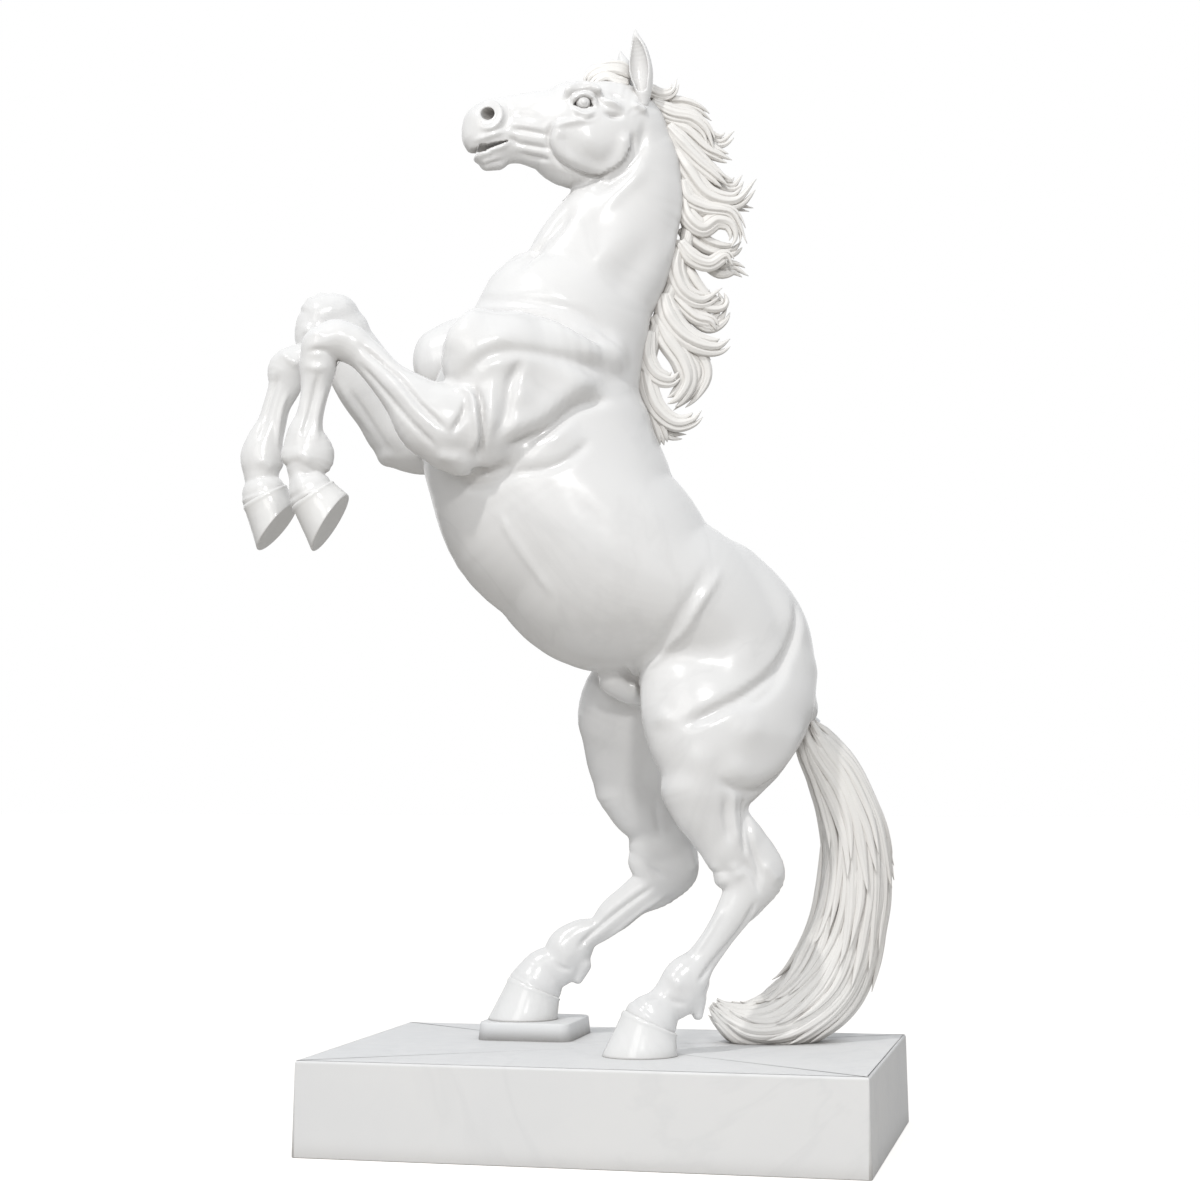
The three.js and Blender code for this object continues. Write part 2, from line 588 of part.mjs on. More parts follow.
const bulk = [trunk, croup, dock, sheath];
const legs = [LEFT, RIGHT].map((leg) => {
  const name = leg.side < 0 ? 'left' : 'right';
  const shoulder = muscle(leg.shoulder, 2);
  const arm = muscle(leg.arm, 2);
  const forearm = outline(leg.forearm);
  const cannon = outline(leg.cannon);
  const thigh = outline(leg.thigh, 2);
  const gaskin = outline(leg.gaskin);
  const shank = outline(leg.shank);
  const elbowKnob = muscle(leg.elbow, 2);
  bulk.push(shoulder, arm, elbowKnob, thigh, outline(leg.forearm.slice(0, 2)));
  const foreForm = grown([arm, elbowKnob, forearm, cannon, muscle(leg.knee), muscle(leg.foreErgot)], LEG_BLEND);
  const hindForm = grown([thigh, gaskin, shank, muscle(leg.hindErgot)], LEG_BLEND);
  const elbow = { ...seamAt(leg.forearm, 1), form: foreForm };
  const knee = { ...seamAt(leg.cannon, 0), form: foreForm };
  const foreCoronet = seamAt(leg.cannon, leg.cannon.length - 1);
  const stifle = { ...seamAt(leg.gaskin, 0), form: hindForm };
  const hock = { ...seamAt(leg.shank, 0), form: hindForm };
  const hindCoronet = seamAt(leg.shank, leg.shank.length - 1);
  pieces[`${name}_forearm`] = block(forearm, foreForm, { from: elbow, to: knee });
  pieces[`${name}_fore_cannon`] = block(cannon, foreForm, { from: knee, to: foreCoronet });
  pieces[`${name}_fore_hoof`] = hoof(leg.foreHoof, foreCoronet);
  pieces[`${name}_gaskin`] = block(gaskin, hindForm, { from: stifle, to: hock });
  pieces[`${name}_hind_cannon`] = block(shank, hindForm, { from: hock, to: hindCoronet });
  pieces[`${name}_hind_hoof`] = hoof(leg.hindHoof, hindCoronet);
  const joints = [
    ['elbow', elbow, ['torso', `${name}_forearm`], ROD_RADIUS],
    ['knee', knee, [`${name}_forearm`, `${name}_fore_cannon`], DOWEL_RADIUS],
    ['fore_hoof', foreCoronet, [`${name}_fore_cannon`, `${name}_fore_hoof`], DOWEL_RADIUS],
    ['stifle', stifle, ['torso', `${name}_gaskin`], ROD_RADIUS],
    ['hock', hock, [`${name}_gaskin`, `${name}_hind_cannon`], DOWEL_RADIUS],
  ];
  joints.forEach(([joint, seam, holders, radius]) => {
    pin(`${name}_${joint}_dowel`, seam.point, seam.normal, radius, DOWEL_DEPTH, holders);
  });
  // The anchor rod runs down the pastern, through the hoof and whatever it stands on, into the plinth.
  const down = -hindCoronet.point.z / hindCoronet.normal.z + ANCHOR_DEPTH;
  const middle = hindCoronet.point.clone().addScaledVector(hindCoronet.normal, (down - DOWEL_DEPTH) / 2);
  pin(`${name}_anchor_rod`, middle, hindCoronet.normal, ROD_RADIUS, (down + DOWEL_DEPTH) / 2, [
    `${name}_hind_cannon`, `${name}_hind_hoof`, 'plinth', ...(leg.hindHoof.lift ? ['hoof_pad'] : []),
  ]);
  return { elbow, stifle };
});

// The torso is cast in one with its shoulders and thighs and sawn off square at every seam, each saw wide enough
// for its own limb and too narrow to reach the next.
const SAW_SHARE = { neck: 2.4, tail: 2.6, elbow: 1.25, stifle: 1.4 };
const body = grown([...bulk, neck], BODY_BLEND);
neckSeam.form = body;
const torsoBox = bulk.flatMap(({ rings }) => rings).reduce((box, { centre, deep, half }) => box.union(
  new THREE.Box3().setFromCenterAndSize(centre, at(2, 2, 2).multiplyScalar(Math.max(deep, half))),
), new THREE.Box3()).expandByScalar(TORSO_CELL);
const torsoSkin = cast(body, torsoBox.min, torsoBox.max, TORSO_CELL);
const cuts = [[neckSeam, SAW_SHARE.neck], [tailSeam, SAW_SHARE.tail]].concat(legs.flatMap((leg) => [
  [leg.elbow, SAW_SHARE.elbow], [leg.stifle, SAW_SHARE.stifle],
]));
const sawn = (skin) => cuts.reduce((left, [seam, share]) => left.subtract(saw(seam, share * seam.size)), skin);
const neckBlock = (swell) => block(neck, body, { from: neckSeam, to: headSeam, sides: 16, stretch: 1.7, swell });
const headBlock = (swell) => block(head, skull, { from: headSeam, sides: 18, stretch: 1.8, swell });
pieces.torso = sawn(torsoSkin(0));
pieces.neck = neckBlock(0);
pieces.head = headBlock(0);
bothSides((side) => {
  const beside = neckSeam.point.clone().addScaledVector(SIDEWAYS, side * NECK_ROD_SPREAD / 2);
  pin(`${side < 0 ? 'left' : 'right'}_neck_rod`, beside, neckSeam.normal, ROD_RADIUS, ROD_DEPTH, ['torso', 'neck']);
});
pin('head_rod', headSeam.point, headSeam.normal, ROD_RADIUS, DOWEL_DEPTH, ['neck', 'head']);

// Small lofts with plain elliptical sections: ears and locks of hair
function spindle(line, widths, sides, swell = 0) {
  const last = widths.length - 1;
  return loft(widths.map(([deep, half], i) => {
    const share = i / last;
    const along = line.getTangent(share);
    const middle = line.getPoint(share).addScaledVector(along, i === 0 ? -swell : (i === last) * swell);
    const across = SIDEWAYS.clone().addScaledVector(along, -along.y).normalize();
    const up = across.clone().cross(along);
    return Array.from({ length: sides }, (_, k) => {
      const angle = (2 * Math.PI * k) / sides;
      return middle.clone().addScaledVector(up, (deep + swell) * Math.cos(angle))
        .addScaledVector(across, (half + swell) * Math.sin(angle));
    });
  }));
}

// Ears stand in sockets in the poll, cupped forward and outward; eyes are set into the skull under the brows.
const earSockets = [LEFT, RIGHT].map(({ side, ear }) => {
  const name = side < 0 ? 'left_ear' : 'right_ear';
  const centres = ear.map(([x, z, y]) => at(x, y, z));
  const widths = ear.map(([, , , deep, half]) => [deep, half]);
  const line = new THREE.CatmullRomCurve3(centres);
  const towardsCup = at(EAR_CUP_FORWARD, side * EAR_CUP_OUTWARD, 0);
  const cupLine = new THREE.CatmullRomCurve3(centres.slice(1, -1).map((p) => p.clone().add(towardsCup)));
  const cupWidths = widths.slice(1, -1).map((width) => width.map((value) => EAR_CUP_SHARE * value));
  const socket = spindle(line, widths, 10, SEAM);
  pieces[name] = spindle(line, widths, 10).subtract(spindle(cupLine, cupWidths, 6));
  pieces.head = pieces.head.subtract(socket);
  pin(`${name}_pin`, centres[0], facing(centres[0], centres[1]), PIN_RADIUS, PIN_DEPTH, ['head', 'neck', name]);
  return socket;
});

const ball = (centre, radius, stretch = at(1, 1, 1)) => solid(new THREE.SphereGeometry(radius, 10, 6)
  .scale(stretch.x, stretch.y, stretch.z).translate(centre.x, centre.y, centre.z));
// Eyes, nostrils and mouth lie on rows of the head's outline, at a share of the way up from the jaw, a little
// behind the row or before it.
const onHead = (row, share, behind) => {
  const [lowX, lowZ, highX, highZ] = HEAD[row];
  return [THREE.MathUtils.lerp(lowX, highX, share) + behind, THREE.MathUtils.lerp(lowZ, highZ, share)];
};
const [EYE_X, EYE_Z] = onHead(3, 0.724, 12);
const [NOSTRIL_X, NOSTRIL_Z] = onHead(8, 0.7, -11);
const [MOUTH_X, MOUTH_Z] = onHead(8, 0.18, -23);
// How far out the skull's surface lies from its middle plane
function cheekAt(x, z, side) {
  let y = 10;
  while (skull(at(x, side * y, z)) < 0) y += 1;
  return side * y;
}
bothSides((side) => {
  const name = side < 0 ? 'left' : 'right';
  const eye = at(EYE_X, cheekAt(EYE_X, EYE_Z, side) - side * EYE_SET_BACK, EYE_Z);
  pieces[`${name}_eye`] = ball(eye, EYE_RADIUS);
  const nostril = at(NOSTRIL_X, cheekAt(NOSTRIL_X, NOSTRIL_Z, side), NOSTRIL_Z);
  pieces.head = pieces.head.subtract(ball(eye, EYE_RADIUS + SEAM))
    .subtract(ball(nostril, NOSTRIL_RADIUS, at(1.1, 0.9, 1.25)));
});
const mouth = solid(new THREE.BoxGeometry(MOUTH_LENGTH, 2 * MOUTH_LENGTH, MOUTH_HEIGHT).rotateY(MOUTH_SLOPE)
  .translate(MOUTH_X, 0, MOUTH_Z));
pieces.head = pieces.head.subtract(mouth);

// Hair: each lock leaves its root outward, sinks and turns up at the tip.
const LOCK_TAPER = [0.8, 1, 0.85, 0.45, 0.08];
function lock(root, tip, width, lean, swell = 0) {
  const span = tip.x - root.x;
  const line = new THREE.CubicBezierCurve3(
    root,
    root.clone().add(at(span * 0.35, lean, -span * 0.35)),
    tip.clone().add(at(-span * 0.3, lean, -span * 0.3)),
    tip,
  );
  return spindle(line, LOCK_TAPER.map((share) => [width * share, width * 0.8 * share]), LOCK_SIDES, swell);
}
// Root and tip of each lock of the mane, as [root x, root z, tip x, tip z], in four blocks from poll to withers
const MANE = [
  [[84, 2694, 186, 2742], [110, 2660, 278, 2634], [132, 2622, 348, 2597], [150, 2580, 337, 2516],
    [162, 2548, 371, 2464]],
  [[172, 2512, 410, 2450], [180, 2476, 402, 2378], [184, 2440, 306, 2334], [188, 2402, 344, 2294],
    [190, 2366, 372, 2262]],
  [[188, 2326, 321, 2232], [182, 2284, 388, 2176], [174, 2242, 310, 2122], [162, 2198, 330, 2074]],
  [[146, 2150, 296, 2022], [126, 2106, 338, 1986], [106, 2058, 292, 1910], [90, 2006, 262, 1782],
    [76, 1950, 212, 1716], [66, 1888, 128, 1674]],
];
// What the hair lies on is swollen by a seam, and in one piece across the seams of the neck.
const skin = torsoSkin(SEAM).add(neckBlock(SEAM + HAIR_PLAY)).add(headBlock(SEAM));
const maneLocks = (rows, swell) => {
  const rail = new THREE.CatmullRomCurve3(rows.map(([x, z]) => at(x - 6, 0, z)));
  const core = spindle(rail, rows.map(() => [LOCK_WIDTH * 0.8, LOCK_WIDTH * 0.9]), LOCK_SIDES, swell);
  return rows.reduce((sum, [rootX, rootZ, tipX, tipZ], i) => sum.add(
    lock(at(rootX, 0, rootZ), at(tipX, 0, tipZ), LOCK_WIDTH, i % 2 ? 10 : -10, swell),
  ), core);
};
MANE.forEach((rows, i) => {
  const name = `mane_${i + 1}`;
  pieces[name] = maneLocks(rows, 0).subtract(skin);
  if (i > 0) pieces[name] = pieces[name].subtract(maneLocks(MANE[i - 1], SEAM));
  const [[startX, startZ], [endX, endZ]] = [rows[0], rows.at(-1)];
  const outward = at(startZ - endZ, 0, endX - startX).normalize();
  const [x, z] = rows[Math.floor(rows.length / 2)];
  pin(`${name}_pin`, at(x, 0, z).addScaledVector(outward, -MANE_PIN_INSET), outward, PIN_RADIUS, PIN_DEPTH, [
    name, 'neck',
  ]);
});

// The forelock is a tuft of three locks carved in one, bowed forward between the ears.
const FORELOCK = [
  [at(48, -14, 2716), at(-12, -34, 2796), at(-92, -46, 2722)],
  [at(50, 0, 2722), at(-8, 0, 2822), at(-80, 6, 2738)],
  [at(44, 15, 2716), at(-18, 36, 2790), at(-86, 40, 2718)],
];
pieces.forelock = FORELOCK.map(([root, top, tip]) => spindle(new THREE.QuadraticBezierCurve3(root, top, tip),
  LOCK_TAPER.map((share) => [FORELOCK_WIDTH * share, FORELOCK_WIDTH * share]), LOCK_SIDES))
  .reduce((sum, shape) => sum.add(shape));
pieces.forelock = [skin, ...earSockets].reduce((left, cutter) => left.subtract(cutter), pieces.forelock);
pin('forelock_pin', at(20, 0, 2730), at(0, 0, 1), PIN_RADIUS, PIN_DEPTH, ['forelock', 'head']);

// The tail leaves the dock in two blocks and its brush rests flat on the plinth.
const TAIL_JOINT = 8;
const TAIL_FOOT_X = 500;
const brush = (p) => Math.max(tailForm(p), SEAM - p.z);
const tailJoint = seamAt(TAIL, TAIL_JOINT);
const upperTail = outline(TAIL.slice(0, TAIL_JOINT + 1));
const lowerTail = outline(TAIL.slice(TAIL_JOINT));
pieces.tail_upper = block(upperTail, brush, { from: tailSeam, to: tailJoint, sides: 16 });
pieces.tail_lower = block(lowerTail, brush, { from: tailJoint, sides: 16 });

pin('tail_root_dowel', tailSeam.point, tailSeam.normal, DOWEL_RADIUS, DOWEL_DEPTH, ['torso', 'tail_upper']);
pin('tail_dowel', tailJoint.point, tailJoint.normal, DOWEL_RADIUS, DOWEL_DEPTH, ['tail_upper', 'tail_lower']);
pin('tail_foot_dowel', at(TAIL_FOOT_X, 0, 0), at(0, 0, 1), DOWEL_RADIUS, DOWEL_DEPTH, ['tail_lower', 'plinth']);

// Plinth and pad: straight sides that flare a little at the foot, with a chamfered top edge
function slab({ length, width, height, flare, chamfer, corner, cornerSteps, x = 0, y = 0, foot = 0 }) {
  const ring = (grow, z) => [[1, 1], [-1, 1], [-1, -1], [1, -1]].flatMap(([right, back], quarter) => (
    Array.from({ length: cornerSteps + 1 }, (_, i) => {
      const angle = (Math.PI / 2) * (quarter + i / Math.max(cornerSteps, 1));
      const turn = cornerSteps ? at(Math.cos(angle), Math.sin(angle), 0) : at(right, back, 0);
      const reach = cornerSteps ? corner + grow : grow;
      return at(x + right * (length / 2 - corner), y + back * (width / 2 - corner), z).addScaledVector(turn, reach);
    })));
  return loft([ring(flare, foot), ring(0, height - chamfer), ring(-chamfer, height)]);
}
pieces.plinth = slab({
  length: PLINTH_LENGTH, width: PLINTH_WIDTH, height: PLINTH_HEIGHT, flare: PLINTH_FLARE, chamfer: PLINTH_CHAMFER,
  corner: 0, cornerSteps: 0,
});
const { sole: farSole, y: farSoleY } = RIGHT.hindHoof;
const pad = at((farSole[0] + farSole[2]) / 2, farSoleY, 0).applyMatrix4(horse.matrix)
  .add(at(PAD_PAST_HOOF_X, PAD_PAST_HOOF_Y, 0));
pieces.hoof_pad = slab({
  length: PAD_LENGTH, width: PAD_WIDTH, height: PLINTH_HEIGHT + PAD_HEIGHT, flare: PAD_FLARE, chamfer: PAD_CHAMFER,
  corner: PAD_CORNER, cornerSteps: 4, x: pad.x, y: pad.y, foot: PLINTH_HEIGHT + SEAM,
});
const padPin = at(pad.x + PAD_LENGTH / 4, pad.y + PAD_WIDTH / 4, PLINTH_HEIGHT)
  .applyMatrix4(horse.matrix.clone().invert());
pin('hoof_pad_pin', padPin, at(0, 0, 1), DOWEL_RADIUS, PIN_DEPTH, ['hoof_pad', 'plinth']);

// Holes are drilled, and each piece gets its marble or steel.
const onGround = ['plinth', 'hoof_pad'];
drilled.forEach(({ holders, hole }) => holders.forEach((name) => {
  pieces[name] = pieces[name].subtract(hole(onGround.includes(name) ? horse.matrix : undefined));
}));
function marbleOf(name) {
  if (onGround.includes(name)) return plinthMarble;
  if (name.endsWith('hoof')) return hoofMarble;
  return /^(mane|tail|forelock)/.test(name) ? hairMarble : bodyMarble;
}
function place(name, shape, material) {
  const { vertProperties, triVerts } = shape.getMesh();
  const cut = new THREE.BufferGeometry().setAttribute('position', new THREE.BufferAttribute(vertProperties, 3))
    .setIndex(new THREE.BufferAttribute(triVerts, 1));
  // Corners closer than the weld are one corner, and the slivers between them go.
  const geometry = mergeVertices(cut, WELD);
  const corners = [...geometry.index.array];
  const faces = Array.from({ length: corners.length / 3 }, (_, i) => corners.slice(3 * i, 3 * i + 3));
  geometry.setIndex(faces.filter((face) => new Set(face).size === 3).flat());
  const mesh = new THREE.Mesh(geometry, material);
  mesh.name = name;
  (onGround.includes(name) ? part : horse).add(mesh);
}
Object.entries(pieces).forEach(([name, shape]) => place(name, shape, marbleOf(name)));
Object.entries(dowels).forEach(([name, shape]) => place(name, shape, steel));

export default part;
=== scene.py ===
import math

import bmesh
import bpy
import numpy as np
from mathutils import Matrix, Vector


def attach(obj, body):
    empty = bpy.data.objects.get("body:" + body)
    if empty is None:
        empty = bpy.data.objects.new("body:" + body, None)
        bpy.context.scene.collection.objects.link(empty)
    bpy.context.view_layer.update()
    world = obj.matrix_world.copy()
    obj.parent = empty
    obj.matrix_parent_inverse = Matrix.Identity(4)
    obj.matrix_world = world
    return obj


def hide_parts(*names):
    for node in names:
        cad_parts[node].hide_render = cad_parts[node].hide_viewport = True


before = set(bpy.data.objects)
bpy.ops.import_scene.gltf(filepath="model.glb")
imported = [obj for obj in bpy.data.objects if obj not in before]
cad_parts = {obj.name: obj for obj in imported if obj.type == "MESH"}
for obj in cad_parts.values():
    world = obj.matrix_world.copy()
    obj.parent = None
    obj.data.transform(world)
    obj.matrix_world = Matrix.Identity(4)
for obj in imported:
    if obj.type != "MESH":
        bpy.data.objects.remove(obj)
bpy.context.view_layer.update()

# Plinth: one block of honed white marble on the ground, sawn square with a small flare at its foot.
# Its top arris is eased by hand, so the edge catches the light as a soft line and not as a sharp corner.
MM = 0.001
PLINTH_SIZE = (1500, 976)
PLINTH_HEIGHT = 250
PLINTH_CORNER = 3
PLINTH_FLARE, PLINTH_FOOT = 6, 2
PLINTH_EASE = 8
# Faces with four sides and less than this many square metres are shaded smooth.
SMOOTH_AREA = 0.012


def placed(name, mesh, material):
    """Puts a mesh into the scene as a piece of one material."""
    mesh.materials.append(material)
    piece = bpy.data.objects.new(name, mesh)
    bpy.context.scene.collection.objects.link(piece)
    return piece


def new_object(name, points, faces, material):
    """A piece from points in millimetres."""
    mesh = bpy.data.meshes.new(name)
    mesh.from_pydata([tuple(p) for p in np.asarray(points, float) * MM], [], [tuple(f) for f in faces])
    mesh.update()
    for face in mesh.polygons:
        face.use_smooth = face.loop_total == 4 and face.area < SMOOTH_AREA
    return placed(name, mesh, material)


def fit(piece, node):
    """Fixes a piece to the statue's one body, in place of its CAD node."""
    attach(piece, "root")
    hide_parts(node)


def skin_rings(rings):
    """Faces between rings of points, with the end rings closed by a fan round their middle."""
    sides = len(rings[0])
    points = list(np.vstack(rings))
    faces = []
    for row in range(len(rings) - 1):
        for k in range(sides):
            a, b = row * sides + k, row * sides + (k + 1) % sides
            faces.append((a, b, b + sides, a + sides))
    for base, turn in ((0, -1), ((len(rings) - 1) * sides, 1)):
        hub = len(points)
        points.append(np.mean(points[base:base + sides], 0))
        for k in range(sides):
            faces.append((hub, base + k, base + (k + 1) % sides)[::turn])
    return np.array(points), faces


def slab_rings(length, width, corner, steps, levels):
    """Rings of a block with rounded corners: each level is how far it grows and its height."""
    turns = [(quarter + step / steps) * math.pi / 2 for quarter in range(4) for step in range(steps + 1)]
    signs = [((1, 1), (-1, 1), (-1, -1), (1, -1))[quarter] for quarter in range(4) for _ in range(steps + 1)]
    rings = []
    for grow, height in levels:
        rings.append([
            (sx * (length / 2 - corner) + (corner + grow) * math.cos(turn),
             sy * (width / 2 - corner) + (corner + grow) * math.sin(turn), height)
            for turn, (sx, sy) in zip(turns, signs)])
    return rings


def eased(height, ease, steps=5):
    """Levels of a rounded top edge."""
    return [(-ease * (1 - math.cos(a)), height - ease + ease * math.sin(a))
            for a in (math.pi / 2 * k / steps for k in range(steps + 1))]


def fill(tree, node, values):
    """Gives each named socket of a node its value, or links to it the socket that feeds it."""
    for key, value in values.items():
        if isinstance(value, (int, float, tuple)):
            node.inputs[key].default_value = value
        else:
            tree.links.new(value, node.inputs[key])
    return node


def new_node(tree, kind, values, **settings):
    """A node of one kind, with its settings and its sockets filled."""
    node = tree.nodes.new(kind)
    for key, value in settings.items():
        setattr(node, key, value)
    return fill(tree, node, values)


def new_material(name):
    """A material, its nodes and its shader."""
    material = bpy.data.materials.new(name)
    material.use_nodes = True
    return material, material.node_tree, material.node_tree.nodes["Principled BSDF"]


STONE_SOCKETS = (("INPUT", "Color", ("Colour", "Vein Colour")),
                 ("INPUT", "Float", ("Vein Strength", "Cloud Strength", "Polish", "Painted Shade")),
                 ("OUTPUT", "Color", ("Base Colour",)),
                 ("OUTPUT", "Float", ("Roughness", "Height")))
CLOUD_COLOUR = (0.86, 0.855, 0.84, 1)
# Painted shade: hollows, creases and recesses are darkened towards this dark warm brown where shade falls, by
# this share, looked for within this reach in metres.
PAINTED_SHADE_COLOUR = (0.2, 0.17, 0.14, 1)
PAINTED_SHADE_SHARE, PAINTED_SHADE_REACH, PAINTED_SHADE_SAMPLES = 0.5, 0.07, 6
# Painted shade begins where a place is this open to its surroundings, and is full where it is this closed in.
PAINTED_SHADE_OPEN, PAINTED_SHADE_CLOSED = 0.85, 0.1
VEIN_WIDTH = 0.03


def carved_stone_group():
    """Cloudy white marble: colour with clouds, veins and painted shade in its hollows, gloss and tool marks.
    """
    group = bpy.data.node_groups.new("carved stone", "ShaderNodeTree")
    for way, kind, names in STONE_SOCKETS:
        for name in names:
            group.interface.new_socket(name=name, socket_type=f"NodeSocket{kind}", in_out=way)
    given, put = group.nodes.new("NodeGroupInput").outputs, group.nodes.new("NodeGroupOutput")
    place = group.nodes.new("ShaderNodeTexCoord").outputs["Object"]

    def noise(scale, detail, rough=0.5, distortion=0.0):
        return new_node(group, "ShaderNodeTexNoise", {
            "Vector": place, "Scale": scale, "Detail": detail, "Roughness": rough,
            "Distortion": distortion}).outputs["Fac"]

    def ramp(source, low, high):
        return new_node(group, "ShaderNodeMapRange", {
            "Value": source, "From Min": low, "From Max": high}).outputs["Result"]

    def reckon(kind, *values):
        return new_node(group, "ShaderNodeMath", dict(enumerate(values)), operation=kind).outputs[0]

    def mix(factor, a, b):
        return new_node(group, "ShaderNodeMix", {"Factor": factor, 6: a, 7: b}, data_type="RGBA").outputs[2]

    haze = ramp(noise(scale=1.6, detail=4, rough=0.6), 0.35, 0.7)
    cloud = reckon("MULTIPLY", haze, given["Cloud Strength"])
    line = reckon("ABSOLUTE", reckon("SUBTRACT", noise(scale=1.1, detail=5, rough=0.55, distortion=1.4), 0.5))
    vein = reckon("MULTIPLY", ramp(line, VEIN_WIDTH, 0.0), given["Vein Strength"])
    stone = mix(vein, mix(cloud, given["Colour"], CLOUD_COLOUR), given["Vein Colour"])
    # Painted shade: an occlusion test darkens the colour in hollows and creases, where shade falls.
    occlusion = new_node(group, "ShaderNodeAmbientOcclusion", {"Distance": PAINTED_SHADE_REACH}, samples=PAINTED_SHADE_SAMPLES)
    painted_shade = reckon("MULTIPLY", ramp(occlusion.outputs["AO"], PAINTED_SHADE_OPEN, PAINTED_SHADE_CLOSED), given["Painted Shade"])
    wear = reckon("ADD", reckon("MULTIPLY", ramp(noise(scale=34, detail=3), 0.3, 0.8), 0.5), 0.75)
    coarse_marks = reckon("MULTIPLY", noise(scale=9, detail=2), 1.5)
    fill(group, put, {
        "Base Colour": mix(painted_shade, stone, PAINTED_SHADE_COLOUR),
        "Roughness": reckon("MULTIPLY", given["Polish"], wear),
        "Height": reckon("ADD", noise(scale=60, detail=4, rough=0.6), coarse_marks),
    })
    return group


carved_stone = carved_stone_group()


def marble(name, colour, vein, vein_strength, clouds, polish, bump, coat=0.0):
    """A marble with its own colours, gloss and coat of wax, from the carved stone group."""
    material, tree, shader = new_material(name)
    # Every marble gets the same share of painted shade darkening its hollows.
    stone = new_node(tree, "ShaderNodeGroup", {
        "Colour": (*colour, 1), "Vein Colour": (*vein, 1), "Vein Strength": vein_strength,
        "Cloud Strength": clouds, "Polish": polish, "Painted Shade": PAINTED_SHADE_SHARE}, node_tree=carved_stone)
    relief = new_node(tree, "ShaderNodeBump", {
        "Strength": bump, "Distance": 0.002, "Height": stone.outputs["Height"]})
    fill(tree, shader, {
        "IOR": 1.5, "Coat Weight": coat, "Coat Roughness": 0.08, "Base Color": stone.outputs["Base Colour"],
        "Roughness": stone.outputs["Roughness"], "Normal": relief.outputs["Normal"]})
    return material


plinth_marble = marble("plinth marble", colour=(0.77, 0.775, 0.78), vein=(0.6, 0.61, 0.62),
                       vein_strength=0.12, clouds=0.4, polish=0.62, bump=0.03)
points, faces = skin_rings(slab_rings(*PLINTH_SIZE, PLINTH_CORNER, steps=3, levels=[
    (PLINTH_FLARE - PLINTH_FOOT, 0), (PLINTH_FLARE, PLINTH_FOOT), *eased(PLINTH_HEIGHT, PLINTH_EASE)]))
fit(new_object("plinth_block", points, faces, plinth_marble), "plinth")

# Pad: a low cushion of the same marble under the right hind hoof, with rounded corners.
# It is pinned flat on the plinth.
PAD_SIZE = (262, 280)
PAD_HEIGHT, PAD_CORNER, PAD_EASE = 50, 30, 5
pad_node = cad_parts["hoof_pad"]
pad_corners = [pad_node.matrix_world @ Vector(corner) for corner in pad_node.bound_box]
pad_middle = sum(pad_corners, Vector()) / len(pad_corners) / MM
points, faces = skin_rings(slab_rings(*PAD_SIZE, PAD_CORNER, steps=8, levels=[
    (PAD_EASE, 0), *eased(PAD_HEIGHT, PAD_EASE)]))
points += (pad_middle.x, pad_middle.y, PLINTH_HEIGHT)
fit(new_object("pad_block", points, faces, plinth_marble), "hoof_pad")

# Torso: the main block of polished white marble, carved in one with both shoulders and both thighs.
# Every block of the horse is carved from the same outlines, in the horse's own frame in millimetres:
# x runs from nose to tail, z up from the plinth, y to the horse's right. It stands turned on the plinth.
HORSE_PLACE = (0, 35, PLINTH_HEIGHT)
HORSE_TURN = math.radians(22)
TURN = np.array([[math.cos(HORSE_TURN), math.sin(HORSE_TURN), 0],
                 [-math.sin(HORSE_TURN), math.cos(HORSE_TURN), 0], [0, 0, 1]])


def on_plinth(points):
    """Points of the horse's own frame where they stand on the plinth."""
    return np.asarray(points, float) @ TURN + HORSE_PLACE


# An outline row is the front edge of a limb in x and z, its back edge in x and z, its y and half its width.
TRUNK = [
    [-388, 2082, 90, 1995, 0, 138],
    [-424, 2010, 74, 1915, 0, 160],
    [-470, 1900, 66, 1835, 0, 188],
    [-530, 1770, 80, 1790, 0, 212],
    [-555, 1660, 95, 1715, 0, 235],
    [-547, 1577, 121, 1649, 0, 250],
    [-512, 1436, 179, 1550, 0, 270],
    [-447, 1343, 231, 1487, 0, 284],
    [-376, 1225, 301, 1450, 0, 290],
    [-267, 1170, 371, 1391, 0, 286],
    [-123, 1127, 448, 1320, 0, 270],
    [-25, 1084, 496, 1233, 0, 252],
    [62, 1030, 541, 1142, 0, 232],
    [122, 976, 566, 1046, 0, 205],
    [190, 948, 564, 950, 0, 170],
    [270, 910, 530, 880, 0, 120],
]
NECK = [
    TRUNK[0],
    [-296, 2146, 100, 2045, 0, 118],
    [-262, 2210, 130, 2110, 0, 106],
    [-222, 2272, 160, 2180, 0, 97],
    [-180, 2320, 187, 2275, 0, 90],
    [-105, 2374, 192, 2395, 0, 84],
    [-98, 2408, 168, 2540, 0, 82],
    [-119, 2412, 104, 2662, 0, 84],
]
HEAD = [
    [-98, 2436, 104, 2662, 0, 84],
    [-72, 2436, 45, 2712, 0, 98],
    [-105, 2418, -45, 2722, 0, 106],
    [-163, 2410, -110, 2714, 0, 104],
    [-206, 2448, -164, 2690, 0, 88],
    [-251, 2465, -224, 2683, 0, 70],
    [-290, 2473, -281, 2672, 0, 60],
    [-330, 2470, -330, 2662, 0, 56],
    [-360, 2470, -374, 2652, 0, 58],
    [-384, 2484, -398, 2638, 0, 54],
    [-400, 2512, -410, 2606, 0, 38],
]
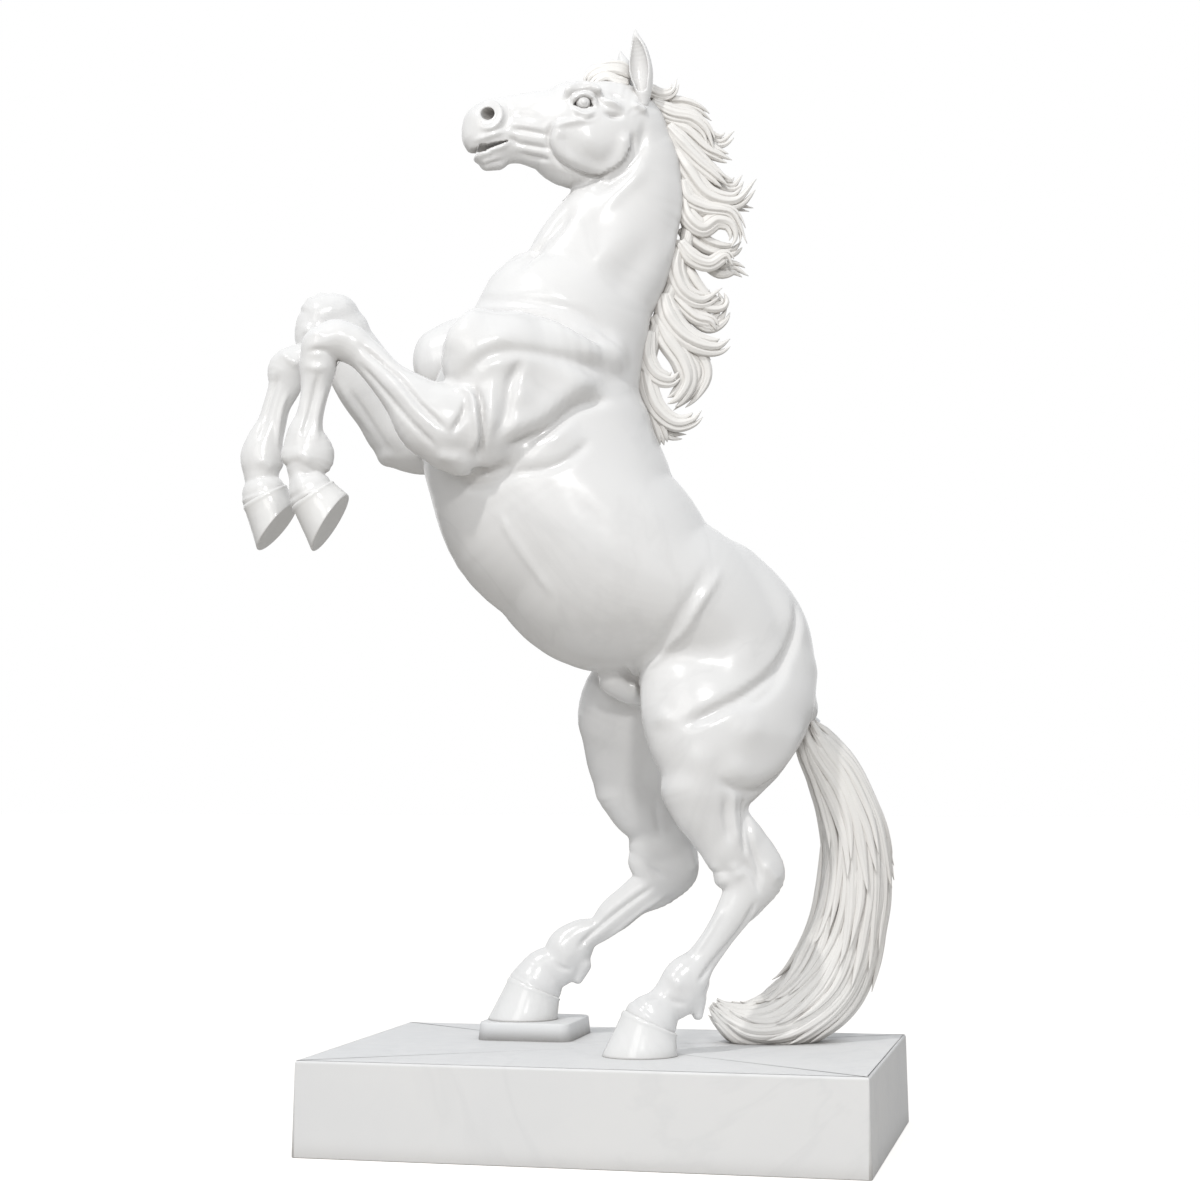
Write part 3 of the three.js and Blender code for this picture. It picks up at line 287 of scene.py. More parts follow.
TAIL = [
    [505, 902, 556, 960, 0, 42],
    [500, 850, 592, 902, 0, 52],
    [512, 790, 640, 845, 0, 62],
    [540, 722, 700, 772, 0, 72],
    [564, 650, 740, 689, 0, 80],
    [573, 580, 772, 600, 0, 85],
    [572, 506, 784, 505, 0, 88],
    [563, 422, 782, 402, 0, 90],
    [548, 352, 766, 310, 0, 90],
    [518, 277, 744, 203, 0, 90],
    [475, 208, 696, 105, 0, 90],
    [431, 159, 602, 26, 0, 88],
    [388, 126, 490, -22, 0, 82],
    [338, 112, 390, -20, 0, 60],
    [290, 114, 318, 34, 0, 32],
    [256, 122, 270, 92, 0, 10],
]
LEFT = {
    "name": "left",
    "side": -1,
    # These rows are x, z, y, half depth and half width.
    "elbow": [[-505, 1604, -218, 44, 52], [-466, 1594, -218, 50, 54]],
    "knee": [[-850, 1905, -165, 38, 46], [-795, 1924, -166, 38, 46]],
    "fore_ergot": [[-845, 1628, -156, 20, 24], [-828, 1602, -156, 13, 16]],
    "hind_ergot": [[175, 142, -239, 24, 24], [176, 104, -240, 14, 16]],
    "ear": [[64, 2646, -58, 16, 16], [64, 2690, -60, 26, 23], [57, 2742, -62, 34, 27],
            [51, 2800, -64, 24, 20], [42, 2838, -66, 10, 9], [40, 2855, -66, 3, 3]],
    "shoulder": [[-60, 1905, -110, 60, 60], [-250, 1868, -170, 118, 92], [-395, 1850, -205, 128, 88],
                 [-440, 1838, -208, 90, 66]],
    "arm": [[-200, 1800, -165, 95, 80], [-330, 1745, -195, 130, 90], [-430, 1690, -212, 118, 86],
            [-500, 1680, -214, 112, 82]],
    "forearm": [
        [-570, 1595, -452, 1765, -213, 82],
        [-598, 1612, -492, 1787, -211, 80],
        [-640, 1690, -560, 1815, -204, 66],
        [-690, 1765, -630, 1852, -192, 52],
        [-740, 1828, -687, 1910, -178, 45],
        [-785, 1868, -736, 1949, -168, 44],
    ],
    "cannon": [
        [-815, 1858, -796, 1976, -164, 48],
        [-888, 1902, -812, 1875, -161, 50],
        [-898, 1860, -797, 1850, -160, 47],
        [-894, 1815, -808, 1805, -160, 40],
        [-896, 1752, -824, 1750, -159, 32],
        [-910, 1698, -832, 1700, -158, 33],
        [-932, 1650, -828, 1656, -157, 40],
        [-944, 1604, -802, 1592, -156, 44],
        [-932, 1570, -836, 1578, -155, 40],
        [-921, 1530, -838, 1552, -155, 42],
        [-914, 1462, -806, 1534, -155, 60],
    ],
    "fore_hoof": [-859, 1343, -761, 1496],
    "thigh": [
        [60, 1060, 560, 1075, -95, 120],
        [32, 990, 545, 985, -125, 132],
        [27, 915, 500, 888, -155, 132],
        [40, 840, 448, 815, -175, 120],
        [62, 778, 392, 758, -188, 102],
        [82, 717, 322, 700, -197, 84],
    ],
    "gaskin": [
        [104, 663, 321, 664, -201, 76],
        [134, 614, 334, 634, -205, 66],
        [164, 569, 352, 604, -208, 58],
        [192, 535, 372, 574, -210, 52],
    ],
    "shank": [
        [217, 503, 412, 520, -211, 48],
        [228, 462, 424, 478, -213, 47],
        [236, 415, 392, 432, -216, 44],
        [216, 369, 345, 378, -221, 38],
        [196, 329, 300, 328, -226, 33],
        [169, 289, 262, 278, -230, 32],
        [136, 255, 226, 226, -234, 35],
        [92, 230, 206, 172, -237, 44],
        [64, 190, 178, 130, -240, 44],
        [30, 152, 134, 104, -243, 44],
        [-26, 122, 116, 56, -248, 62],
    ],
    "hind_hoof": [-86, 0, 119, 0],
}
RIGHT = {
    "name": "right",
    "side": 1,
    "elbow": [[-636, 1656, 208, 26, 44], [-606, 1656, 208, 24, 44]],
    "knee": [[-838, 2058, 172, 38, 46], [-772, 2070, 173, 36, 46]],
    "fore_ergot": [[-958, 1648, 156, 20, 24], [-948, 1622, 156, 13, 16]],
    "hind_ergot": [[-62, PAD_HEIGHT + 150, 234, 22, 24], [-78, PAD_HEIGHT + 112, 235, 14, 16]],
    "ear": [[44, 2650, 58, 16, 16], [44, 2690, 60, 26, 23], [38, 2740, 63, 33, 27], [32, 2788, 66, 23, 20],
            [23, 2820, 68, 10, 9], [20, 2836, 68, 3, 3]],
    "shoulder": [[-60, 1905, 110, 60, 60], [-250, 1895, 160, 118, 90], [-400, 1938, 185, 132, 86],
                 [-494, 1930, 190, 98, 72]],
    "arm": [[-200, 1800, 165, 95, 80], [-340, 1755, 190, 125, 88], [-450, 1722, 205, 118, 84],
            [-530, 1702, 208, 94, 80]],
    "forearm": [
        [-628, 1640, -490, 1752, 208, 80],
        [-672, 1668, -506, 1812, 206, 80],
        [-712, 1732, -560, 1873, 200, 72],
        [-758, 1792, -617, 1931, 192, 64],
        [-795, 1858, -674, 2003, 184, 56],
        [-830, 1930, -723, 2066, 176, 50],
    ],
    "cannon": [
        [-850, 1960, -778, 2120, 172, 54],
        [-893, 2044, -800, 1960, 168, 54],
        [-884, 1982, -834, 1903, 165, 52],
        [-982, 1908, -862, 1880, 162, 48],
        [-979, 1850, -880, 1850, 160, 38],
        [-993, 1789, -912, 1789, 159, 32],
        [-1011, 1732, -924, 1734, 158, 33],
        [-1040, 1680, -932, 1684, 157, 40],
        [-1054, 1634, -934, 1640, 156, 44],
        [-1044, 1590, -944, 1596, 155, 40],
        [-1038, 1550, -944, 1570, 155, 42],
        [-1044, 1500, -924, 1562, 155, 60],
    ],
    "fore_hoof": [-1003, 1376, -892, 1508],
    "thigh": [
        [30, 1076, 545, 1085, 95, 120],
        [-54, 998, 500, 985, 125, 132],
        [-124, 921, 430, 888, 155, 132],
        [-104, 851, 360, 830, 175, 120],
        [-76, 785, 285, 772, 188, 102],
        [-38, 717, 215, 705, 197, 84],
    ],
    "gaskin": [
        [-2, 655, 214, 662, 201, 76],
        [40, 606, 220, 634, 205, 66],
        [64, 568, 232, 606, 208, 58],
        [73, 532, 248, 572, 210, 52],
    ],
    "shank": [
        [73, 502, 268, 530, 211, 49],
        [54, 464, 276, 482, 213, 47],
        [34, 422, 252, 440, 216, 44],
        [-14, 382, 186, 402, 221, 38],
        [-54, 341, 104, 344, 226, 32],
        [-84, 306, 44, 302, 230, 31],
        [-132, 301, -2, 268, 234, 35],
        [-167, PAD_HEIGHT + 222, -30, PAD_HEIGHT + 184, 238, 42],
        [-197, PAD_HEIGHT + 178, -66, PAD_HEIGHT + 132, 241, 44],
        [-240, PAD_HEIGHT + 162, -108, PAD_HEIGHT + 104, 243, 44],
        [-273, PAD_HEIGHT + 122, -129, PAD_HEIGHT + 58, 248, 62],
    ],
    "hind_hoof": [-336, PAD_HEIGHT, -135, PAD_HEIGHT],
}

# Each of these parts begins at the row where the one above it ends.
for leg in (LEFT, RIGHT):
    for part, above in (("cannon", "forearm"), ("gaskin", "thigh"), ("shank", "gaskin")):
        leg[part].insert(0, leg[above][-1])
SIDEWAYS = np.array([0.0, 1.0, 0.0])
# How wide the valley is between two masses that grow together.
BODY_BLEND, MUSCLE_BLEND, LEG_BLEND, FACE_BLEND = 46, 32, 24, 20
SHEATH_BLEND, ERGOT_BLEND, CHIN_BLEND, LIP_BLEND = 20, 14, 14, 8
TINY = 1e-9
# The least half width of flesh, and a depth that is outside everything.
THINNEST, FAR = 1.0, 1e3


def unit(vectors):
    vectors = np.asarray(vectors, float)
    return vectors / np.maximum(np.linalg.norm(vectors, axis=-1, keepdims=True), TINY)


def through(rows, fineness):
    """A smooth line through rows of values; the first three of each row are its place."""
    rows = np.asarray(rows, float)
    ends = np.vstack([2 * rows[0] - rows[1], rows, 2 * rows[-1] - rows[-2]])
    share = np.arange(fineness)[:, None] / fineness
    line = []
    for a, b, c, d in zip(ends, ends[1:], ends[2:], ends[3:]):
        r, s, t = (max(np.linalg.norm((q - p)[:3]), 1e-3) ** 0.5 for p, q in ((a, b), (b, c), (c, d)))
        leave = ((b - a) / r - (c - a) / (r + s) + (c - b) / s) * s
        arrive = ((c - b) / s - (d - b) / (s + t) + (d - c) / t) * s
        curve = 2 * (b - c) + leave + arrive
        bend = 3 * (c - b) - 2 * leave - arrive
        line.append(b + leave * share + bend * share ** 2 + curve * share ** 3)
    return np.vstack([*line, rows[-1:]])


class Flesh:
    """Elliptical sections strung on a smooth line. Rows are x, y, z, half depth and half width."""


    def __init__(self, rows, blend, fineness=5, hollow=False):
        line = through(rows, fineness)
        line[:, 3:] = np.maximum(line[:, 3:], THINNEST)
        self.start, end = line[:-1], line[1:]
        run = end[:, :3] - self.start[:, :3]
        self.length = np.maximum(np.linalg.norm(run, axis=1), 1e-6)
        along = run / self.length[:, None]
        across = unit(SIDEWAYS - along * along[:, 1:2])
        self.frames = np.stack([along, across, np.cross(across, along)], 1)
        self.offset = np.einsum("kij,kj->ki", self.frames, self.start[:, :3])
        self.gain = end[:, 3:] - self.start[:, 3:]
        self.middle = (self.start[:, :3] + end[:, :3]) / 2
        self.span = self.length / 2 + np.maximum(self.start[:, 3:].max(1), end[:, 3:].max(1))
        self.blend, self.hollow = blend, hollow

    def near(self, centre, reach):
        return np.nonzero(np.linalg.norm(self.middle - centre, axis=1) < self.span + reach + self.blend)[0]

    def outside(self, points, links):
        """How far the points lie outside the flesh, negative within it."""
        local = points @ self.frames[links].reshape(-1, 3).T
        local = local.reshape(len(points), len(links), 3) - self.offset[links]
        length = self.length[links]
        share = np.clip(local[..., 0] / length, 0, 1)
        past = local[..., 0] - share * length
        deep = self.start[links, 3] + share * self.gain[links, 0]
        half = self.start[links, 4] + share * self.gain[links, 1]
        side, rise = local[..., 1], local[..., 2]
        least = np.minimum(deep, half)
        scale = np.sqrt((rise / deep) ** 2 + (side / half) ** 2 + (past / least) ** 2)
        away = np.sqrt(rise ** 2 + side ** 2 + past ** 2)
        gap = np.where(scale > 1e-3, away * (1 - 1 / np.maximum(scale, 1e-3)), -least)
        return gap.min(1)


def middle_of(row):
    """The middle of an outline row in x, y and z."""
    return np.array([(row[0] + row[2]) / 2, row[4], (row[1] + row[3]) / 2], float)


def outline(rows, blend):
    """The flesh of a limb from its outline rows. Its depth is measured square to its course."""
    rows = np.asarray(rows, float)
    middle = np.array([middle_of(row) for row in rows])
    near = np.vstack([middle[:1], middle, middle[-1:]])
    course = unit(near[2:] - near[:-2])
    chord = np.stack([rows[:, 2] - rows[:, 0], rows[:, 0] * 0, rows[:, 3] - rows[:, 1]], 1)
    deep = np.linalg.norm(np.cross(chord, course), axis=1) / 2
    return Flesh(np.column_stack([middle, deep, rows[:, 5]]), blend)


def muscle(rows, blend):
    """The flesh of a muscle from rows of x, z, y, half depth and half width."""
    return Flesh(np.asarray(rows, float)[:, [0, 2, 1, 3, 4]], blend, fineness=6)


def form(points, parts):
    """How far points lie outside all the flesh grown together, with a soft valley where lengths meet."""
    centre = (points.min(0) + points.max(0)) / 2
    reach = np.linalg.norm(points.max(0) - points.min(0)) / 2
    total = np.full(len(points), FAR)
    for part in parts:
        links = part.near(centre, reach)
        if not len(links):
            continue
        gap = part.outside(points, links)
        sign = -1 if part.hollow else 1
        overlap = np.maximum(part.blend - np.abs(sign * total - gap), 0) / part.blend
        total = sign * (np.minimum(sign * total, gap) - overlap ** 2 * part.blend / 4)
    return total


# Points within one cluster, in millimetres, are worked out together, in batches of about this many.
CLUSTER, BATCH = 60, 1500
# Cells along each side of a cube of the grid.
BLOCK = 8
CORNERS = [(i, j, k) for i in (0, 1) for j in (0, 1) for k in (0, 1)]


def depths(points, parts):
    """The form at many points."""
    order = np.lexsort(np.floor(points / CLUSTER).T)
    found = np.empty(len(points))
    for batch in np.array_split(order, max(1, len(points) // BATCH)):
        found[batch] = form(points[batch], parts)
    return found


def depth_grid(parts, low, high, cell):
    """The form on a grid of cells: roughly by cubes everywhere, and finely in the cubes near the skin."""
    counts = np.ceil((np.asarray(high) - low) / (cell * BLOCK)).astype(int)
    step = cell * BLOCK
    middles = [low[i] + (np.arange(counts[i]) + 0.5) * step for i in range(3)]
    centres = np.stack(np.meshgrid(*middles, indexing="ij"), -1).reshape(-1, 3)
    rough = depths(centres, parts).reshape(counts)
    depth = rough.repeat(BLOCK, 0).repeat(BLOCK, 1).repeat(BLOCK, 2)
    depth = np.pad(depth, ((0, 1),) * 3, mode="edge").astype(np.float32)
    ticks = np.arange(BLOCK + 1) * cell
    local = np.stack(np.meshgrid(ticks, ticks, ticks, indexing="ij"), -1).reshape(-1, 3)
    for cube in zip(*np.nonzero(np.abs(rough) < 1.5 * step)):
        values = form(low + np.array(cube) * step + local, parts).reshape((BLOCK + 1,) * 3)
        depth[tuple(slice(i * BLOCK, i * BLOCK + BLOCK + 1) for i in cube)] = values
    return depth


def cast(parts, low, high, cell):
    """The skin of the flesh on a grid: one point in each cell that it passes through, and quads between."""
    low = np.asarray(low, float)
    depth = depth_grid(parts, low, high, cell)
    inside = depth < 0
    cells = np.zeros(np.array(depth.shape) - 1, np.uint8)
    for i, j, k in CORNERS:
        cells += inside[i:i + cells.shape[0], j:j + cells.shape[1], k:k + cells.shape[2]]
    live = (cells > 0) & (cells < len(CORNERS))
    name = np.full(cells.shape, -1, np.int64)
    name[live] = np.arange(live.sum())
    where = np.stack(np.nonzero(live), 1)
    total, hits = np.zeros((len(where), 3)), np.zeros(len(where))
    for a, axis in [(corner, axis) for corner in CORNERS for axis in range(3) if not corner[axis]]:
        b = list(a)
        b[axis] = 1
        near = depth[tuple((where + a).T)].astype(float)
        far = depth[tuple((where + b).T)].astype(float)
        crossed = (near < 0) != (far < 0)
        share = np.where(crossed, near / np.where(crossed, near - far, 1), 0)
        spot = where + np.asarray(a, float) + share[:, None] * (np.asarray(b, float) - a)
        total += np.where(crossed[:, None], spot, 0)
        hits += crossed
    faces = [faces_across(inside, name, axis) for axis in range(3)]
    return low + total / hits[:, None] * cell, np.vstack(faces)


def faces_across(inside, name, axis):
    """A quad round each edge of the grid along one axis that the skin crosses, facing outwards."""
    one, two = (axis + 1) % 3, (axis + 2) % 3
    ahead, here = [slice(None)] * 3, [slice(None)] * 3
    ahead[axis], here[axis] = slice(1, None), slice(0, -1)
    spots = np.stack(np.nonzero(inside[tuple(here)] != inside[tuple(ahead)]), 1)
    spots = spots[(spots[:, one] > 0) & (spots[:, two] > 0) & (spots[:, one] < inside.shape[one] - 1)
                  & (spots[:, two] < inside.shape[two] - 1)]
    ring = []
    for u, v in ((0, 0), (1, 0), (1, 1), (0, 1)):
        back = spots.copy()
        back[:, one] -= u
        back[:, two] -= v
        ring.append(name[tuple(back.T)])
    ring = np.stack(ring, 1)
    flip = ~inside[tuple(spots.T)]
    ring[flip] = ring[flip][:, ::-1]
    return ring


def point_normals(points, faces):
    """The way the skin faces at each point."""
    a, b, c, d = (points[faces[:, k]] for k in range(4))
    slope = np.cross(c - a, d - b)
    normals = np.zeros_like(points)
    for k in range(4):
        for axis in range(3):
            normals[:, axis] += np.bincount(faces[:, k], slope[:, axis], len(points))
    return unit(normals)


SMOOTHING, SWELL = 0.5, 1.04


def relax(points, faces, rounds=2):
    """Evens out the grid's steps without shrinking: each round smooths and then swells back."""
    pairs = np.vstack([faces[:, [k, (k + 1) % 4]] for k in range(4)])
    count = np.bincount(pairs[:, 0], minlength=len(points)) + np.bincount(pairs[:, 1], minlength=len(points))
    for strength in (SMOOTHING, -SMOOTHING * SWELL) * rounds:
        total = np.zeros_like(points)
        for axis in range(3):
            total[:, axis] = (np.bincount(pairs[:, 0], points[pairs[:, 1], axis], len(points))
                              + np.bincount(pairs[:, 1], points[pairs[:, 0], axis], len(points)))
        points = points + strength * (total / np.maximum(count, 1)[:, None] - points)
    return points


# A stroke fades out over this many of its half widths, and reaches this many to its sides.
STROKE_FADE, STROKE_REACH = 5, 3
# A step is this many times wider on its proud side.
STEP_SPREAD = 2.2


class Stroke:
    """A groove, ridge or step over the skin. Rows are its places; it fades out towards its ends.

    A step stands proud on the left of its course, as seen from the horse's left, and is cut in on the right.
    """

    def __init__(self, places, proud, half, step=False):
        self.line = through(places, 6)[:, :3]
        run = np.linalg.norm(np.diff(self.line, axis=0), axis=1)
        along = np.concatenate([[0], np.cumsum(run)])
        fade = np.clip(np.minimum(along, along[-1] - along) / min(STROKE_FADE * half, along[-1] / 2), 0, 1)
        self.proud = proud * (np.sin(fade * math.pi / 2) ** 2 if len(places) > 2 else np.ones(len(fade)))
        self.half, self.step = half, step

    def lift(self, points, normals):
        """Which points the stroke reaches, and how far it lifts each of them."""
        reach = STROKE_REACH * self.half * (STEP_SPREAD if self.step else 1)
        low, high = self.line.min(0) - reach, self.line.max(0) + reach
        near = np.nonzero(((points > low) & (points < high)).all(1))[0]
        if not len(near):
            return near, np.zeros(0)
        spots, faced = points[near], normals[near] * -np.sign(self.line[:, 1].mean())
        best, signed, proud = np.full(len(near), 1e9), np.zeros(len(near)), np.zeros(len(near))
        for start, end, first, last in zip(self.line, self.line[1:], self.proud, self.proud[1:]):
            run = end - start
            share = np.clip((spots - start) @ run / max(run @ run, TINY), 0, 1)
            off = spots - start - share[:, None] * run
            away = np.linalg.norm(off, axis=1)
            take = away < best
            best = np.where(take, away, best)
            signed = np.where(take, np.where((np.cross(run, off) * faced).sum(1) > 0, away, -away), signed)
            proud = np.where(take, first + share * (last - first), proud)
        if not self.step:
            return near, proud * np.exp(-(best / self.half) ** 2)
        share = signed / self.half / np.where(signed > 0, STEP_SPREAD, 1)
        return near, proud * share * np.exp(0.5 - share ** 2 / 2)



def seam_at(rows, index):
    """A flat seam across a limb at one row of its outline: a point, the way it faces and its size."""
    front_x, front_z, back_x, back_z = rows[index][:4]
    before, after = middle_of(rows[max(index - 1, 0)]), middle_of(rows[min(index + 1, len(rows) - 1)])
    normal = unit(np.array([front_z - back_z, 0, back_x - front_x]))
    if normal @ (after - before) < 0:
        normal = -normal
    return middle_of(rows[index]), normal, math.hypot(back_x - front_x, back_z - front_z) / 2


# How far a seam's cut reaches, in sizes of the seam, and how far its rim is looked for.
SEAM_REACH = 1.7
RIM_REACH = 1.3 * SEAM_REACH
# Only faces within this many cells of the seam are cut.
SEAM_BAND = 3
# A rim lies this close to its seam, in millimetres.
RIM_GAP = 1e-2
# The points of a sawn face carry no normal, so theirs is shorter than this.
SAWN_SHADE = 0.2


def carve(name, parts, box, cell, seed, seams, material, strokes=()):
    """Carves one block: its skin between the seams, each seam closed by a flat face."""
    cell = cell * 1
    points, faces = cast(parts, *box, cell)
    points = relax(points, faces)
    normals = point_normals(points, faces)
    lifts = np.zeros(len(points))
    for stroke in strokes:
        near, lift = stroke.lift(points, normals)
        lifts[near] += lift
    points = points + normals * lifts[:, None]
    normals = point_normals(points, faces)
    mesh = bpy.data.meshes.new(name)
    mesh.from_pydata(points.tolist(), [], faces.tolist())
    grid = bmesh.new()
    grid.from_mesh(mesh)
    shade = grid.verts.layers.float_vector.new("shade")
    grid.verts.ensure_lookup_table()
    for vert, normal in zip(grid.verts, normals.tolist()):
        vert[shade] = normal
    for seam in seams:
        saw(grid, seam, cell)
    keep_connected(grid, seed)
    for seam in seams:
        cap_seam(grid, seam, shade)
    spots = on_plinth([vert.co[:] for vert in grid.verts])
    for vert, spot in zip(grid.verts, (spots * MM).tolist()):
        vert.co = spot
    for face in grid.faces:
        face.smooth = True
    grid.to_mesh(mesh)
    grid.free()
    shade_skin(mesh)
    return placed(name, mesh, material)


def slice_through(grid, pieces, centre, normal, **options):
    """Cuts a part of a grid along a plane and returns the new edges."""
    plane = {"plane_co": Vector(centre), "plane_no": Vector(normal)}
    cut = bmesh.ops.bisect_plane(grid, geom=pieces, **plane, **options)
    return [item for item in cut["geom_cut"] if isinstance(item, bmesh.types.BMEdge)]


def saw(grid, seam, cell):
    """Parts the skin along a seam, so that its two sides no longer hang together."""
    centre, normal, size = seam
    grid.faces.ensure_lookup_table()
    away = np.array([face.calc_center_median() for face in grid.faces]) - centre
    band = (np.linalg.norm(away, axis=1) < SEAM_REACH * size) & (np.abs(away @ normal) < SEAM_BAND * cell)
    chosen = [grid.faces[i] for i in np.nonzero(band)[0]]
    edging = {edge for face in chosen for edge in face.edges}
    edging |= {vert for face in chosen for vert in face.verts}
    bmesh.ops.split_edges(grid, edges=slice_through(grid, [*chosen, *edging], centre, normal, dist=1e-4))


def shade_skin(mesh):
    """Gives the skin the smooth normals that it was carved with, and the sawn faces flat ones."""
    shades = np.zeros(len(mesh.vertices) * 3, np.float32)
    mesh.attributes["shade"].data.foreach_get("vector", shades)
    corner_verts = np.zeros(len(mesh.loops), np.int32)
    mesh.loops.foreach_get("vertex_index", corner_verts)
    corners = shades.reshape(-1, 3)[corner_verts]
    normals = unit(corners) @ TURN
    sawn = np.linalg.norm(corners, axis=1) < SAWN_SHADE
    for polygon in mesh.polygons:
        first = polygon.loop_start
        if sawn[first:first + 3].any():
            normals[first:first + polygon.loop_total] = polygon.normal[:]
    mesh.attributes.remove(mesh.attributes["shade"])
    mesh.normals_split_custom_set(normals.tolist())


def keep_connected(grid, seed):
    """Keeps only the skin that hangs together with the point nearest the seed."""
    start = min(grid.verts, key=lambda vert: (vert.co - Vector(seed)).length_squared)
    reached, newest = {start}, [start]
    while newest:
        following = []
        for vert in newest:
            for edge in vert.link_edges:
                other = edge.other_vert(vert)
                if other not in reached:
                    reached.add(other)
                    following.append(other)
        newest = following
    bmesh.ops.delete(grid, geom=[vert for vert in grid.verts if vert not in reached], context="VERTS")


def cap_seam(grid, seam, shade):
    """Closes the open rim at a seam with a flat fan that has its own points."""
    centre, normal, size = Vector(seam[0]), Vector(seam[1]), seam[2]
    rim = [edge for edge in grid.edges if len(edge.link_faces) == 1
           and all(abs((vert.co - centre).dot(normal)) < RIM_GAP
                   and (vert.co - centre).length < RIM_REACH * size for vert in edge.verts)]
    if not rim:
        return
    twin = {}
    for vert in (vert for edge in rim for vert in edge.verts):
        if vert not in twin:
            twin[vert] = grid.verts.new(vert.co)
            twin[vert][shade] = (0, 0, 0)
    hub = grid.verts.new(sum((vert.co for vert in twin), Vector()) / len(twin))
    for edge in rim:
        loop = edge.link_loops[0]
        grid.faces.new((twin[loop.link_loop_next.vert], twin[loop.vert], hub))


trunk = outline(TRUNK, BODY_BLEND)
neck = outline(NECK, BODY_BLEND)
croup = muscle([[330, 1310, 0, 80, 120], [405, 1232, 0, 86, 150], [452, 1150, 0, 86, 165],
                [474, 1060, 0, 76, 150]], BODY_BLEND)
dock = muscle([[455, 1010, 0, 70, 70], [500, 965, 0, 52, 60], [531, 930, 0, 40, 46]], BODY_BLEND)
left_dome = muscle([[-330, 1885, -190, 115, 88], [-425, 1885, -195, 112, 90]], MUSCLE_BLEND)
sheath = muscle([[-10, 1010, 0, 44, 50], [40, 985, 0, 44, 46], [92, 970, 0, 30, 36]], SHEATH_BLEND)
bulk = [trunk, neck, croup, dock, sheath, left_dome]
limbs = []
for leg in (LEFT, RIGHT):
    bulk += [muscle(leg["shoulder"], MUSCLE_BLEND), muscle(leg["arm"], MUSCLE_BLEND),
             outline(leg["thigh"], MUSCLE_BLEND), muscle(leg["elbow"], ERGOT_BLEND)]
    limbs += [outline(leg[part], LEG_BLEND) for part in ("forearm", "cannon", "gaskin", "shank")]
    limbs += [muscle(leg["knee"], LEG_BLEND)]
    limbs += [muscle(leg[part], ERGOT_BLEND) for part in ("fore_ergot", "hind_ergot")]
head = outline(HEAD, FACE_BLEND)
face = [head]
for side in (-1, 1):
    face += [
        muscle([[-88, 2530, side * 62, 70, 34], [-40, 2560, side * 58, 60, 34]], FACE_BLEND),
        muscle([[-140, 2655, side * 80, 20, 18], [-85, 2668, side * 84, 20, 18]], FACE_BLEND),
        muscle([[-372, 2600, side * 30, 36, 26], [-398, 2585, side * 28, 32, 24]], FACE_BLEND),
    ]
chin = muscle([[-345, 2482, 0, 30, 34], [-374, 2476, 0, 27, 34]], CHIN_BLEND)
lower_lip = muscle([[-372, 2488, 0, 12, 38], [-396, 2488, 0, 17, 34]], LIP_BLEND)
upper_lip = muscle([[-390, 2560, 0, 42, 46], [-404, 2540, 0, 35, 40]], FACE_BLEND)
face += [chin, lower_lip, upper_lip]
flesh = bulk + limbs + face

# Relief cut into the skin after the masses are roughed out: furrows and ridges between muscles, tendons and
# veins. Each is how proud it stands (a furrow is negative), its half width, and its course as x, z.
BODY_RELIEF = {
    "fold over the shoulder": (-10, 20, [(-485, 1785), (-395, 1865), (-285, 1880), (-110, 1860),
                                         (-35, 1860)]),
    "front of the arm": (7, 16, [(-380, 1825), (-392, 1760), (-392, 1690), (-400, 1620)]),
    "groove behind the arm": (-12, 16, [(-285, 1870), (-325, 1825), (-345, 1755), (-355, 1690),
                                        (-380, 1630)]),
    "upper band": (8, 28, [(-260, 1825), (-185, 1820), (-110, 1815), (-55, 1815)]),
    "long muscle of the arm": (7, 30, [(-370, 1785), (-315, 1760), (-255, 1755)]),
    "leaf muscle": (12, 24, [(-290, 1605), (-215, 1655), (-140, 1715)]),
    "second line over the shoulder": (-7, 18, [(-420, 2075), (-345, 2055), (-265, 2045), (-115, 2010),
                                               (-25, 1940),
                                               (10, 1900)]),
    "shoulder blade": (6, 26, [(-425, 1900), (-370, 1915), (-305, 1910)]),
    "flank fold": (8, 12, [(250, 1310), (180, 1205), (140, 1135), (110, 1100), (75, 1050), (35, 960)]),
    "groove before the flank fold": (-5, 16, [(220, 1330), (150, 1220), (105, 1145), (80, 1110), (25, 1040)]),
    "stifle groove": (-17, 17, [(480, 1250), (478, 1160), (445, 1085), (400, 1030), (320, 970),
                                (235, 925), (165, 890),
                               (120, 868)]),
    "second groove": (-9, 15, [(440, 1080), (410, 1010), (345, 950), (260, 920)]),
    "stifle": (8, 28, [(95, 935), (85, 900), (80, 855)]),
    "front of the thigh": (7, 34, [(150, 835), (175, 780), (185, 715)]),
    "top of the thigh": (8, 46, [(370, 1120), (295, 1055), (225, 1025)]),
    "back of the thigh": (8, 38, [(370, 905), (310, 865), (240, 835)]),
    "last rib": (-4, 34, [(-200, 1535), (-150, 1480), (-95, 1415), (-30, 1345)]),
    "swell of the ribs": (4, 45, [(-90, 1565), (20, 1485), (100, 1380), (185, 1300)]),
    "belly line": (4, 13, [(-370, 1465), (-330, 1390), (-275, 1310), (-205, 1215)]),
    "girth": (-8, 14, [(-475, 1550), (-435, 1530), (-385, 1530), (-335, 1550), (-270, 1570)]),
}
